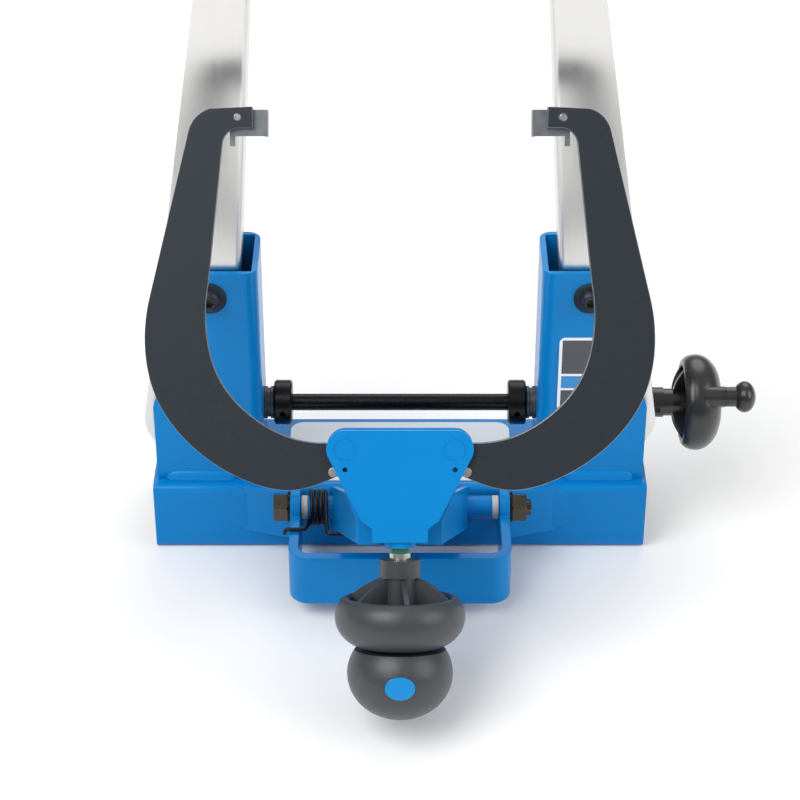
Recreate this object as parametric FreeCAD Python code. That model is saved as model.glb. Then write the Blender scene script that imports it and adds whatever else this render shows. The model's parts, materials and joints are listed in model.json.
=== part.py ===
"""Bicycle wheel truing stand, in millimetres.

Two steel uprights hinge on blue brackets welded to a base tube.  A screw with a right-hand and a
left-hand end spreads them evenly when its side knob is cranked.  A sprung arm in front carries two
flat calipers that close on the rim as the saucer knob draws a stud down through the head.

X points right, Y back towards the rear and Z up.  The origin lies on the base tube's underside,
midway between the uprights.
"""
import FreeCAD, Part
import math
import os

V = FreeCAD.Vector
X_AXIS = V(1, 0, 0)
Y_AXIS = V(0, 1, 0)
Z_AXIS = V(0, 0, 1)
ORIGIN = V(0, 0, 0)
SIDES = {"left": -1, "right": 1}

# General values
overrun = 5.0
running_clearance = 0.05
seat_clearance = 0.1
free_gap = 0.3
tolerance = 0.001

# Base tube, a rectangular steel tube lying across the stand
tube_length = 250.0
tube_depth = 63.5
tube_height = 38.0
tube_wall = 3.0
tube_edge_radius = 3.5
tube_front_y = -28.0
plug_insert_depth = 12.0
plug_recess = 1.0
plug_wall = 2.5
bench_hole_radius = 3.5
bench_hole_from_end = 27.0
bench_hole_from_rear = 8.7

# Silver plate lying on the base tube between the brackets
top_plate_side_gap = 11.6
top_plate_depth = 52.0
top_plate_thickness = 0.5
top_plate_corner = 7.0
top_plate_rear_margin = 2.5

# Upright brackets, open channels with their web towards the wheel
bracket_end_margin = 2.0
bracket_depth = 41.0
bracket_wall = 3.0
bracket_foot_width = 54.4
bracket_shoulder_height = 44.0
bracket_top_width = 28.4
bracket_height = 121.0
bracket_bend_radius = 6.5
bracket_corner_radius = 7.0
bracket_weld_height = 5.0
bracket_weld_foot = 2.5
bracket_weld_inner_margin = 14.4
bracket_weld_outer_margin = 4.5

# Blank label on the right bracket
label_width = 34.0
label_height = 42.7
label_thickness = 0.4
label_corner = 3.0
label_inset = 9.4
label_top_drop = 36.1

# Upright hinges
hinge_inset = 23.4
hinge_height = 145.5
hinge_bolt_radius = 5.0
hinge_flange_radius = 8.2
hinge_flange_thickness = 1.6
hinge_head_radius = 5.6
hinge_head_height = 4.0
hinge_socket_radius = 2.6
hinge_socket_depth = 2.4
button_via_shares = (0.7, 0.85)
hinge_nut_flat = 16.0
hinge_nut_height = 8.0
hinge_washer_radius = 9.0
hinge_washer_thickness = 0.7

# Uprights, tapered channels with their web towards the wheel
upright_lean_deg = 3.6
upright_wall = 2.5
upright_depth = 33.0
upright_web_offset = 14.2
upright_foot_drop = 95.0
upright_foot_reach = 33.3
upright_taper_reach = 6.7
upright_taper_height = 195.5
upright_past_axle = 17.5
upright_bend_radius = 2.5
upright_foot_radius = 20.0
upright_top_radius = 5.0
upright_screw_window_radius = 9.5
hub_axle_height = 505.0

# Axle seats, slotted hardened plates at the top of the uprights
axle_radius = 5.0
seat_plate_thickness = 3.0
seat_plate_width = 25.0
seat_plate_drop = 34.0
seat_plate_corner = 4.0
seat_mouth_width = 17.0
seat_mouth_depth = 5.0
seat_screw_radius = 2.5
seat_screw_head_radius = 4.4
seat_screw_head_height = 2.4
seat_screw_spacing = 12.0
seat_screw_drop = 24.0
seat_screw_socket_radius = 1.5
seat_web_slot_extra = 1.2

# Spreading screw with its collars, bushes and trunnion nuts
screw_height = 71.2
screw_radius = 4.25
screw_tail = 37.4
screw_knob_grip = 11.0
screw_end_gap = 1.0
collar_length = 9.0
collar_radius = 11.35
collar_chamfer = 0.8
grub_radius = 1.5
bush_flange_radius = 8.25
bush_flange_length = 4.7
bush_body_radius = 6.5
bush_tail = 2.0
bush_groove_depth = 0.8
trunnion_radius = 8.0
trunnion_spigot_radius = 4.0
trunnion_end_gap = 0.5
trunnion_bore_clearance = 0.6
trunnion_stop_short = 0.2

# Side crank knob
side_hub_gap = 4.0
side_hub_radius = 7.6
side_hub_length = 6.3
side_neck_radius = 6.9
side_bowl_radius = 24.3
side_bowl_wall = 3.0
side_fin_drop = 11.0
side_crown_drop = 15.6
side_widest_drop = 22.8
side_front_drop = 35.0
side_boss_radius = 7.5
side_foot_share = 0.33
crank_arm_radius = 19.5
crank_angle_deg = 41.7
spinner_boss_radius = 5.2
spinner_pin_radius = 2.5
spinner_boss_length = 10.5
spinner_pin_seat = 5.0
spinner_shank_radius = 4.95
spinner_shank_length = 5.3
spinner_ball_radius = 7.85
spinner_ball_half_length = 5.6
spinner_pin_reach = 11.0

# Front strap, a flat bar bent to a U
strap_thickness = 5.0
strap_height = 28.0
strap_bottom_height = 11.0
strap_half_width = 54.5
strap_front_reach = 60.0
strap_flare_x = 79.5
strap_flare_reach = 7.5
strap_corner_radius = 10.0
strap_ear_radius = 10.0
strap_weld_leg = 2.0
strap_weld_foot = 6.0
strap_weld_end_margin = 2.0

# Arm pivot in the strap's ears
arm_pivot_reach = 16.0
arm_pivot_height = 37.5
arm_bolt_radius = 4.0
arm_nut_flat = 13.0
arm_nut_height = 7.0
arm_washer_radius = 8.0
arm_washer_thickness = 1.5
arm_bolt_tail = 2.5
arm_tube_radius = 5.75
arm_tube_half_length = 46.0
bushing_flange_radius = 5.9
bushing_body_radius = 4.9
bushing_body_length = 10.0

# Torsion spring round the arm's pivot tube
spring_wire_radius = 0.95
spring_mean_radius = 8.4
spring_pitch = 2.4
spring_inner_x = 36.9
spring_whole_turns = 4
spring_leg_reach = 22.0
spring_arm_hook = 9.0
spring_hook_outside = 2.4
spring_hook_drop = 2.0
spring_bend_radius = 2.6

# Caliper arm, a tapered channel that is open upwards
arm_wall = 2.5
arm_side_height = 21.0
arm_rear_half_width = 34.0
arm_front_half_width = 20.0
arm_seat_height = 8.2

# Caliper head
head_reach = 114.0
head_height = 90.0
head_lean_deg = 30.0
head_plate_thickness = 2.5
head_gap = 11.4
head_top = 51.2
head_waist_half_width = 17.6
head_waist_height = 9.9
tongue_half_width = 12.7
tongue_shoulder_height = 6.4
back_plate_half_width = 19.5
back_plate_waist_height = 8.0
back_plate_foot_drop = 2.8
jaw_pivot_x = 24.9
jaw_pivot_height = 42.7
jaw_pin_radius = 4.4
jaw_pin_head_radius = 4.9
jaw_spacer_radius = 7.5
sight_hole_height = 33.3
sight_hole_radius = 1.15
guide_height = 6.0
guide_neck_radius = 7.2
guide_neck_length = 2.9

# Calipers, flat curved plates
jaw_thickness = 4.0
jaw_bow = 90.4
jaw_reach = 154.0
jaw_swing_deg = 21.0
jaw_lever = 16.0
jaw_lever_lobe = 4.8
jaw_link_pin_radius = 2.0
jaw_slot_clearance = 0.25
jaw_slot_extra = 0.9
jaw_tip_share = (0.457, 1.0)
jaw_nose_share = (0.456, 0.938)
jaw_shoulder_shares = ((0.672, 0.994), (0.744, 0.966), (0.776, 0.928))
jaw_outer_shares = ((0.974, 0.446), (1.0, 0.333), (0.941, 0.145), (0.762, 0.004), (0.502, -0.094),
                    (0.258, -0.123), (0.09, -0.095), (0, -0.071))
jaw_inner_shares = ((0, 0.022), (0.106, 0.016), (0.256, 0.028), (0.453, 0.087), (0.62, 0.195),
                    (0.691, 0.332), (0.681, 0.488))
jaw_throat_shares = ((0.607, 0.895), (0.577, 0.927), (0.516, 0.938))
feeler_thickness = 1.5
feeler_width = 7.0
feeler_reach = 17.0
feeler_lip = 9.0
feeler_hook_width = 2.4
feeler_hook_drop = 4.5
feeler_screw_rise = 4.9
feeler_screw_radius = 1.5
feeler_screw_head_radius = 2.8
feeler_screw_head_height = 1.6

# Stud, slide block and return spring of the head
stud_radius = 4.0
slide_height = 9.0
slide_half_width = 13.5
slide_stud_seat = 6.0
stud_spigot_radius = 2.8
return_wire_radius = 0.5
return_mean_radius = 4.85
return_turns = 12
return_end_gap = 0.4

# Saucer knob and ball knob on the stud
ring_length = 2.4
ring_radius = 5.6
spacer_length = 2.8
spacer_radius = 4.9
knob_hub_radius = 9.35
knob_hub_length = 8.0
knob_boss_radius = 8.0
saucer_radius = 29.9
saucer_wall = 3.2
saucer_fin_drop = 8.5
saucer_crown_drop = 17.4
saucer_widest_drop = 26.3
saucer_end_drop = 40.9
saucer_rib_turn_deg = 8.0
saucer_foot_share = 0.45
bowl_crown_share = 0.82
bowl_arc_steps = 3
bowl_rib_count = 6
bowl_rib_thickness = 2.2
bowl_fin_sink = 0.9
bowl_fin_bulge = 1.0
insert_radius = 6.0
insert_length = 14.0
ball_radius = 24.3
ball_half_height = 21.5
ball_cut_share = 0.507
ball_arc_ends_deg = (50.0, 84.0)
ball_gap = 0.6
ball_stud_seat = 20.0
cap_half_width = 6.8
cap_half_height = 5.3
cap_drop = 3.0
cap_thickness = 2.0
cap_proud = 0.5

# Places that follow from the sizes above
tube_rear_y = tube_front_y + tube_depth
bracket_foot_x = tube_length / 2 - bracket_end_margin
bracket_web_x = bracket_foot_x - bracket_foot_width
bracket_top_x = bracket_web_x + bracket_top_width
bracket_half_depth = bracket_depth / 2
label_edge_x = bracket_web_x + label_inset
hinge_x = bracket_web_x + hinge_inset
upright_half_depth = upright_depth / 2
axle_drop = (hub_axle_height - hinge_height) / math.cos(math.radians(upright_lean_deg))
trunnion_drop = (hinge_height - screw_height) / math.cos(math.radians(upright_lean_deg))
upright_top_height = axle_drop + upright_past_axle
collar_inner_x = bracket_web_x - free_gap - bush_flange_length - collar_length
side_hub_x = bracket_foot_x + side_hub_gap
side_front_x = side_hub_x + side_front_drop
screw_end_x = side_hub_x + side_fin_drop + screw_knob_grip
arm_pivot = V(0, tube_front_y - arm_pivot_reach, arm_pivot_height)
head_origin = V(0, tube_front_y - head_reach, head_height)
head_placement = FreeCAD.Placement(head_origin, FreeCAD.Rotation(X_AXIS, 90 - head_lean_deg))
back_plate_front = -head_plate_thickness - head_gap
back_plate_rear = back_plate_front - head_plate_thickness
stud_depth = -head_plate_thickness - head_gap / 2
arm_seat = head_placement.multVec(V(0, arm_seat_height, back_plate_rear))
arm_length = (arm_seat - arm_pivot).Length
jaw_front = -head_plate_thickness - free_gap
jaw_back = jaw_front - jaw_thickness
half_swing = math.radians(jaw_swing_deg / 2)
link_pin_x = jaw_pivot_x - jaw_lever * math.cos(half_swing)
link_pin_height = jaw_pivot_height + jaw_lever * math.sin(half_swing)
ring_start = guide_neck_length
spacer_start = ring_start + ring_length
knob_start = spacer_start + spacer_length + free_gap
saucer_heights = tuple(knob_start + drop for drop in
                       (saucer_fin_drop, saucer_crown_drop, saucer_widest_drop, saucer_end_drop))
saucer_end = saucer_heights[-1]
side_heights = (side_fin_drop, side_crown_drop, side_widest_drop, side_front_drop)
ball_start = saucer_end + ball_gap
ball_centre = ball_start + ball_cut_share * ball_half_height
stud_end = ball_start + ball_stud_seat


def box(x0, x1, y0, y1, z0, z1):
    """A block between two corners."""
    return Part.makeBox(x1 - x0, y1 - y0, z1 - z0, V(x0, y0, z0))


def rod(radius, start, direction, length):
    """A round bar."""
    return Part.makeCylinder(radius, length, start, direction)


def prism(points, sweep):
    """A closed outline of points, swept along a vector."""
    outline = [V(*p) for p in points]
    face = Part.Face(Part.makePolygon(outline + outline[:1]))
    return face.extrude(sweep)


def mirrored(shape):
    """The same shape on the other side of the stand."""
    return shape.mirror(ORIGIN, X_AXIS)


def on_side(shape, side):
    """A shape modelled for the right, put on the named side."""
    return mirrored(shape) if SIDES[side] < 0 else shape


def rounded(shape, radius, chosen):
    """Rounds the edges for which the test is true."""
    return shape.makeFillet(radius, [edge for edge in shape.Edges if chosen(edge)])


def runs_along(edge, axis):
    """True for a straight edge parallel to an axis."""
    if not isinstance(edge.Curve, Part.Line):
        return False
    return abs(abs(edge.Curve.Direction.dot(axis)) - 1) < tolerance


def middle(edge):
    """The middle point of an edge."""
    return edge.CenterOfMass


def hexagon(flat, start, direction, height):
    """A hexagonal prism across flats."""
    radius = flat / math.sqrt(3)
    ring = [V(radius * math.cos(math.radians(60 * i)), radius * math.sin(math.radians(60 * i)), 0)
            for i in range(6)]
    solid = Part.Face(Part.makePolygon(ring + ring[:1])).extrude(V(0, 0, height))
    corner_cone = flat / 2 + (radius - flat / 2) / 2
    crown = Part.makeCone(corner_cone + height, corner_cone, height).common(
        Part.makeCone(corner_cone, corner_cone + height, height))
    solid = solid.common(crown) if crown.Volume > 0 else solid
    solid.Placement = FreeCAD.Placement(start, FreeCAD.Rotation(Z_AXIS, direction))
    return solid


def turned(profile, start, direction):
    """A profile of (radius, height) points turned about an axis; arcs are (radius, height, through)."""
    edges = []
    count = len(profile)
    for i in range(count):
        here = profile[i]
        there = profile[(i + 1) % count]
        a = V(here[0], 0, here[1])
        b = V(there[0], 0, there[1])
        if len(there) > 2:
            via = V(there[2][0], 0, there[2][1])
            edges.append(Part.Arc(a, via, b).toShape())
        elif (a - b).Length > 0:
            edges.append(Part.LineSegment(a, b).toShape())
    solid = Part.Face(Part.Wire(edges)).revolve(ORIGIN, Z_AXIS, 360)
    solid.Placement = FreeCAD.Placement(start, FreeCAD.Rotation(Z_AXIS, direction))
    return solid


def in_head(shape):
    """Puts a shape drawn flat on the head's front face (X across, Y up it, Z out of it) in place."""
    placed = shape.copy()
    placed.Placement = head_placement.multiply(placed.Placement)
    return placed


def stud_part(profile):
    """A turned part on the stud's axis, its heights counted down from the head's lower edge."""
    return in_head(turned(profile, V(0, 0, stud_depth), -Y_AXIS))


def biarc(p0, t0, p1, t1):
    """Two arcs that join two points with given directions."""
    v = p1 - p0
    t = t0 + t1
    k = 2 * (1 - t0.dot(t1))
    d = (-v.dot(t) + math.sqrt(v.dot(t) ** 2 + k * v.dot(v))) / k
    joint = (p0 + t0 * d + p1 - t1 * d) * 0.5
    arcs = []
    for a, q, b in ((p0, p0 + t0 * d, joint), (joint, p1 - t1 * d, p1)):
        m = (a + b) * 0.5
        cos_half = (m - a).Length / (q - a).Length
        arcs.append(Part.Arc(a, q + (m - q) * (1 / (1 + cos_half)), b).toShape())
    return arcs


def helix_arcs(centre, axis, radial, radius, pitch, start_angle, sweep):
    """A helix as biarcs of a quarter turn: its edges, end points and end directions."""
    side = axis.cross(radial)
    steps = max(1, round(abs(sweep) / (math.pi / 2)))

    def place(angle):
        out = radial * math.cos(angle) + side * math.sin(angle)
        rise = axis * (pitch * (angle - start_angle) / (2 * math.pi))
        return centre + out * radius + rise

    def heading(angle):
        tangent = radial * -math.sin(angle) + side * math.cos(angle)
        tangent = tangent * radius + axis * (pitch / (2 * math.pi))
        return tangent.normalize()

    edges = []
    for i in range(steps):
        a0 = start_angle + sweep * i / steps
        a1 = start_angle + sweep * (i + 1) / steps
        edges += biarc(place(a0), heading(a0), place(a1), heading(a1))
    return edges, place, heading


def wire_solid(edges, wire_radius):
    """A round wire swept along joined edges."""
    spine = Part.Wire(edges)
    first = spine.Edges[0]
    start = first.valueAt(first.FirstParameter)
    heading = first.tangentAt(first.FirstParameter)
    section = Part.Wire([Part.Circle(start, heading, wire_radius).toShape()])
    shell = Part.BRepOffsetAPI.MakePipeShell(spine)
    shell.add(section)
    shell.build()
    shell.makeSolid()
    return shell.shape()


def bend(corner, before, after, radius):
    """The tangent arc that rounds a corner between two directions."""
    turn = before.getAngle(after)
    back = radius * math.tan(turn / 2)
    a = corner - before * back
    b = corner + after * back
    m = (a + b) * 0.5
    via = corner + (m - corner) * (1 / (1 + math.cos(turn / 2)))
    return a, b, Part.Arc(a, via, b).toShape()


def route(points, radius):
    """Straight runs through points, with a tangent arc at each inner one."""
    edges = []
    here = points[0]
    for i in range(1, len(points) - 1):
        before = (points[i] - points[i - 1]).normalize()
        after = (points[i + 1] - points[i]).normalize()
        a, b, arc = bend(points[i], before, after, radius)
        edges += [Part.LineSegment(here, a).toShape(), arc]
        here = b
    edges.append(Part.LineSegment(here, points[-1]).toShape())
    return edges


def self_gap(edges, wire_radius, samples=40):
    """The least gap of a wire to itself, measured on points more than a turn's half apart."""
    wire = Part.Wire(edges)
    points = wire.discretize(Distance=wire.Length / (samples * len(edges) / 2))
    step = wire.Length / (len(points) - 1)
    skip = int(math.pi * wire_radius * 3 / step) + 1
    least = min((points[i] - points[j]).Length
                for i in range(len(points)) for j in range(i + skip, len(points)))
    return least - 2 * wire_radius


def mitred(points, distance):
    """A line of plan points moved sideways by a distance, its corners mitred."""
    moved = []
    last = len(points) - 1
    for i, p in enumerate(points):
        normals = []
        for a, b in ((i - 1, i), (i, i + 1)):
            if 0 <= a and b <= last:
                run = (points[b] - points[a]).normalize()
                normals.append(V(-run.y, run.x, 0))
        total = normals[0] + normals[-1]
        moved.append(p + total * (distance / total.dot(normals[0])))
    return moved


def base_tube():
    outer = box(-tube_length / 2, tube_length / 2, tube_front_y, tube_rear_y, 0, tube_height)
    outer = rounded(outer, tube_edge_radius, lambda e: runs_along(e, X_AXIS))
    inner = box(-tube_length, tube_length, tube_front_y + tube_wall, tube_rear_y - tube_wall,
                tube_wall, tube_height - tube_wall)
    tube = outer.cut(inner)
    for side in (-1, 1):
        at = V(side * (tube_length / 2 - bench_hole_from_end), tube_rear_y - bench_hole_from_rear, 0)
        tube = tube.cut(rod(bench_hole_radius, at - Z_AXIS * overrun, Z_AXIS, tube_height))
    return tube


def end_plug():
    x = tube_length / 2 - plug_recess
    y0 = tube_front_y + tube_wall + seat_clearance
    y1 = tube_rear_y - tube_wall - seat_clearance
    z0 = tube_wall + seat_clearance
    z1 = tube_height - tube_wall - seat_clearance
    body = box(x - plug_insert_depth, x, y0, y1, z0, z1)
    return body.cut(box(x - plug_insert_depth - overrun, x - plug_wall, y0 + plug_wall, y1 - plug_wall,
                        z0 + plug_wall, z1 - plug_wall))


def top_plate():
    y1 = tube_rear_y - tube_edge_radius - top_plate_rear_margin
    half_width = bracket_web_x - top_plate_side_gap
    plate = box(-half_width, half_width, y1 - top_plate_depth, y1,
                tube_height, tube_height + top_plate_thickness)
    return rounded(plate, top_plate_corner, lambda e: runs_along(e, Z_AXIS))


def bracket():
    foot = tube_height
    top = foot + bracket_height
    outline = [(bracket_web_x, 0, foot), (bracket_foot_x, 0, foot),
               (bracket_foot_x, 0, foot + bracket_shoulder_height), (bracket_top_x, 0, top),
               (bracket_web_x, 0, top)]
    solid = prism(outline, Y_AXIS * bracket_depth)
    solid.translate(Y_AXIS * -bracket_half_depth)

    def outer_corner(edge):
        return runs_along(edge, Y_AXIS) and middle(edge).x > bracket_web_x + bracket_wall \
            and middle(edge).z > foot + bracket_wall
    solid = rounded(solid, bracket_corner_radius, outer_corner)
    solid = rounded(solid, bracket_bend_radius,
                    lambda e: runs_along(e, Z_AXIS) and middle(e).x < bracket_web_x + bracket_wall)
    inner_half = bracket_half_depth - bracket_wall
    hollow = box(bracket_web_x + bracket_wall, bracket_foot_x + overrun, -inner_half, inner_half,
                 foot - overrun, top + overrun)
    solid = solid.cut(hollow)
    hinge = V(hinge_x, -bracket_depth, hinge_height)
    solid = solid.cut(rod(hinge_bolt_radius + seat_clearance, hinge, Y_AXIS, 2 * bracket_depth))
    screw = V(bracket_web_x - overrun, 0, screw_height)
    return solid.cut(rod(bush_body_radius + seat_clearance, screw, X_AXIS, 2 * overrun + bracket_wall))


def bracket_weld(face_y):
    """A fillet weld along a flange's foot; it stands in front of face_y for a negative value."""
    out = -1 if face_y < 0 else 1
    x0 = bracket_web_x + bracket_weld_inner_margin
    x1 = bracket_foot_x - bracket_weld_outer_margin
    outline = [(x0, face_y, tube_height), (x0, face_y + out * bracket_weld_foot, tube_height),
               (x0, face_y, tube_height + bracket_weld_height)]
    return prism(outline, X_AXIS * (x1 - x0))


def label_plate():
    top = tube_height + bracket_height - label_top_drop
    y = -bracket_half_depth
    plate = box(label_edge_x, label_edge_x + label_width, y - label_thickness, y, top - label_height, top)
    return rounded(plate, label_corner, lambda e: runs_along(e, Y_AXIS))


def button_via(wide, narrow, low, high):
    """A point on the dome of a button head, between its edge and its socket."""
    across, up = button_via_shares
    return narrow + (wide - narrow) * across, low + (high - low) * up


def hinge_bolt():
    """Flanged button-head bolt; its shank is the upright's hinge pin."""
    face = -bracket_half_depth
    start = V(hinge_x, face, hinge_height)
    crown = hinge_flange_thickness + hinge_head_height
    head = turned([(0, 0), (hinge_flange_radius, 0), (hinge_flange_radius, hinge_flange_thickness / 2),
                   (hinge_head_radius, hinge_flange_thickness),
                   (hinge_socket_radius, crown, button_via(hinge_head_radius, hinge_socket_radius,
                                                           hinge_flange_thickness, crown)),
                   (0, crown)], start, -Y_AXIS)
    socket = hexagon(2 * hinge_socket_radius, start - Y_AXIS * (crown - hinge_socket_depth), -Y_AXIS,
                     hinge_socket_depth + overrun)
    length = bracket_depth + hinge_washer_thickness + hinge_nut_height + arm_bolt_tail
    return head.cut(socket).fuse(rod(hinge_bolt_radius, start, Y_AXIS, length)).removeSplitter()


def hinge_nut():
    start = V(hinge_x, bracket_half_depth, hinge_height)
    washer = rod(hinge_washer_radius, start, Y_AXIS, hinge_washer_thickness)
    nut = hexagon(hinge_nut_flat, start + Y_AXIS * hinge_washer_thickness, Y_AXIS, hinge_nut_height)
    bore = rod(hinge_bolt_radius + seat_clearance, start - Y_AXIS * overrun, Y_AXIS,
               hinge_nut_height + 3 * overrun)
    return washer.cut(bore), nut.cut(bore)


def hinge_spacers():
    """Two nylon washers that fill the gap between the upright's flanges and the bracket's."""
    gap = bracket_half_depth - bracket_wall - upright_half_depth
    y = upright_half_depth + (gap - hinge_washer_thickness) / 2
    bore = rod(hinge_bolt_radius + running_clearance, V(hinge_x, -bracket_depth, hinge_height),
               Y_AXIS, 2 * bracket_depth)
    rear = rod(hinge_washer_radius, V(hinge_x, y, hinge_height), Y_AXIS, hinge_washer_thickness)
    front = rod(hinge_washer_radius, V(hinge_x, -y, hinge_height), -Y_AXIS, hinge_washer_thickness)
    return rear.cut(bore), front.cut(bore)


def lean_out(shape):
    """Tilts a right-hand upright's part about its hinge, its top towards the wheel."""
    placed = shape.copy()
    tilt = FreeCAD.Rotation(Y_AXIS, -upright_lean_deg)
    placed.Placement = FreeCAD.Placement(V(hinge_x, 0, hinge_height), tilt).multiply(placed.Placement)
    return placed


def axle_slot(radius, x0, x1):
    """A slot that is open at the top, round at its foot."""
    slot = box(x0, x1, -radius, radius, axle_drop, upright_top_height + overrun)
    return slot.fuse(rod(radius, V(x0, 0, axle_drop), X_AXIS, x1 - x0))


def upright():
    web = -upright_web_offset
    outline = [(web, 0, -upright_foot_drop), (upright_foot_reach, 0, -upright_foot_drop),
               (upright_taper_reach, 0, upright_taper_height), (upright_taper_reach, 0, upright_top_height),
               (web, 0, upright_top_height)]
    solid = prism(outline, Y_AXIS * upright_depth)
    solid.translate(Y_AXIS * -upright_half_depth)

    def at_corner(edge, x, z):
        return runs_along(edge, Y_AXIS) and (middle(edge) - V(x, 0, z)).Length < tolerance
    solid = rounded(solid, upright_foot_radius,
                    lambda e: at_corner(e, upright_foot_reach, -upright_foot_drop))
    solid = rounded(solid, upright_top_radius,
                    lambda e: at_corner(e, upright_taper_reach, upright_top_height))
    solid = rounded(solid, upright_bend_radius,
                    lambda e: runs_along(e, Z_AXIS) and middle(e).x < web + tolerance)
    inner = upright_half_depth - upright_wall
    solid = solid.cut(box(web + upright_wall, upright_foot_reach + overrun, -inner, inner,
                          -upright_foot_drop - overrun, upright_top_height + overrun))
    solid = solid.cut(rod(hinge_bolt_radius + running_clearance, V(0, -upright_depth, 0), Y_AXIS,
                          2 * upright_depth))
    solid = solid.cut(rod(trunnion_spigot_radius + running_clearance, V(0, -upright_depth, -trunnion_drop),
                          Y_AXIS, 2 * upright_depth))
    window = rod(upright_screw_window_radius, V(web - overrun, 0, -trunnion_drop), X_AXIS, 2 * overrun)
    solid = solid.cut(window)
    return solid.cut(axle_slot(axle_radius + seat_web_slot_extra, web - overrun,
                               web + upright_wall + overrun))


def seat_screw_places():
    """The two screws below the axle, side by side."""
    z = axle_drop - seat_screw_drop
    return [V(-upright_web_offset, side * seat_screw_spacing / 2, z) for side in (-1, 1)]


def axle_seat():
    web = -upright_web_offset
    half = seat_plate_width / 2
    foot = axle_drop - seat_plate_drop
    plate = box(web - seat_plate_thickness, web, -half, half, foot, upright_top_height)
    plate = rounded(plate, seat_plate_corner, lambda e: runs_along(e, X_AXIS))
    plate = plate.cut(axle_slot(axle_radius + seat_clearance, web - 2 * seat_plate_thickness, web + overrun))
    mouth = [(web - 2 * seat_plate_thickness, -axle_radius, upright_top_height - seat_mouth_depth),
             (web - 2 * seat_plate_thickness, axle_radius, upright_top_height - seat_mouth_depth),
             (web - 2 * seat_plate_thickness, seat_mouth_width / 2, upright_top_height + seat_clearance),
             (web - 2 * seat_plate_thickness, -seat_mouth_width / 2, upright_top_height + seat_clearance)]
    plate = plate.cut(prism(mouth, X_AXIS * 3 * seat_plate_thickness))
    for place in seat_screw_places():
        hole = rod(seat_screw_radius + seat_clearance, place - X_AXIS * overrun, X_AXIS, 2 * overrun)
        plate = plate.cut(hole)
    return plate


def upright_with_holes():
    """The upright, drilled for its seat's two screws."""
    drilled = upright()
    for place in seat_screw_places():
        hole = rod(seat_screw_radius + seat_clearance, place - X_AXIS * overrun, X_AXIS, 2 * overrun)
        drilled = drilled.cut(hole)
    return drilled


def seat_screw(place):
    """Button-head screw through the seat plate and the upright's web."""
    head_face = place - X_AXIS * seat_plate_thickness
    head = turned([(0, 0), (seat_screw_head_radius, 0),
                   (seat_screw_socket_radius, seat_screw_head_height,
                    button_via(seat_screw_head_radius, seat_screw_socket_radius, 0, seat_screw_head_height)),
                   (0, seat_screw_head_height)], head_face, -X_AXIS)
    head = head.cut(hexagon(2 * seat_screw_socket_radius, head_face - X_AXIS * seat_screw_head_height / 2,
                            -X_AXIS, overrun))
    shank = rod(seat_screw_radius, head_face, X_AXIS, seat_plate_thickness + upright_wall)
    return head.fuse(shank).removeSplitter()


def trunnion():
    half = upright_half_depth - upright_wall - trunnion_end_gap
    at = V(0, 0, -trunnion_drop)
    body = rod(trunnion_radius, at - Y_AXIS * half, Y_AXIS, 2 * half)
    spigot_half = upright_half_depth - trunnion_stop_short
    body = body.fuse(rod(trunnion_spigot_radius, at - Y_AXIS * spigot_half, Y_AXIS, 2 * spigot_half))
    placed = lean_out(body.removeSplitter())
    bore = rod(screw_radius + trunnion_bore_clearance, V(0, 0, screw_height), X_AXIS, tube_length)
    return placed.cut(bore)


def spreading_screw():
    left_end_x = -bracket_web_x - screw_tail
    bar = rod(screw_radius, V(left_end_x, 0, screw_height), X_AXIS, screw_end_x - left_end_x)
    return bar.makeChamfer(collar_chamfer, [e for e in bar.Edges if isinstance(e.Curve, Part.Circle)
                                            and middle(e).x < 0])


def screw_collar():
    start = V(collar_inner_x, 0, screw_height)
    ring = turned([(screw_radius + running_clearance, 0), (collar_radius - collar_chamfer, 0),
                   (collar_radius, collar_chamfer), (collar_radius, collar_length - collar_chamfer),
                   (collar_radius - collar_chamfer, collar_length),
                   (screw_radius + running_clearance, collar_length)], start, X_AXIS)
    grub = rod(grub_radius, start + X_AXIS * collar_length / 2, -Y_AXIS, 2 * collar_radius)
    return ring.cut(grub)


def screw_bush():
    groove = bush_flange_length / 3
    low = bush_flange_radius - bush_groove_depth
    bore = screw_radius + running_clearance
    body_end = bush_flange_length + bracket_wall + bush_tail
    return turned([(bore, 0), (bush_flange_radius, 0), (bush_flange_radius, groove), (low, groove),
                   (low, 2 * groove), (bush_flange_radius, 2 * groove),
                   (bush_flange_radius, bush_flange_length), (bush_body_radius, bush_flange_length),
                   (bush_body_radius, body_end), (bore, body_end)],
                  V(bracket_web_x - bush_flange_length, 0, screw_height), X_AXIS)


def bow(centre, across, up, first_deg, last_deg):
    """Section points round an ellipse, each with the point half-way to it from the last."""
    def at(step):
        angle = math.radians(first_deg + (last_deg - first_deg) * step / (2 * bowl_arc_steps))
        return centre[0] + across * math.cos(angle), centre[1] + up * math.sin(angle)
    return [at(step) + (at(step - 1),) for step in range(2, 2 * bowl_arc_steps + 1, 2)]


def bowl_profile(radius, wall, boss, foot_share, heights):
    """A bowl's section: open crown with a rounded edge, widest ring, closed end, hollow round its boss."""
    crown, widest, end = heights[1:]
    mouth = radius * bowl_crown_share
    foot = radius * foot_share
    return [(0, crown), (boss, crown), (boss, end - wall), (foot, end - wall)] \
        + bow((foot, widest), radius - wall - foot, end - wall - widest, 90, 0) \
        + bow((mouth, widest), radius - wall - mouth, crown + wall - widest, 0, 90) \
        + [(mouth, crown, (mouth - wall / 2, crown + wall / 2))] \
        + bow((mouth, widest), radius - mouth, crown - widest, 90, 0) \
        + bow((foot, widest), radius - foot, end - widest, 0, 90) + [(0, end)]


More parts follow.
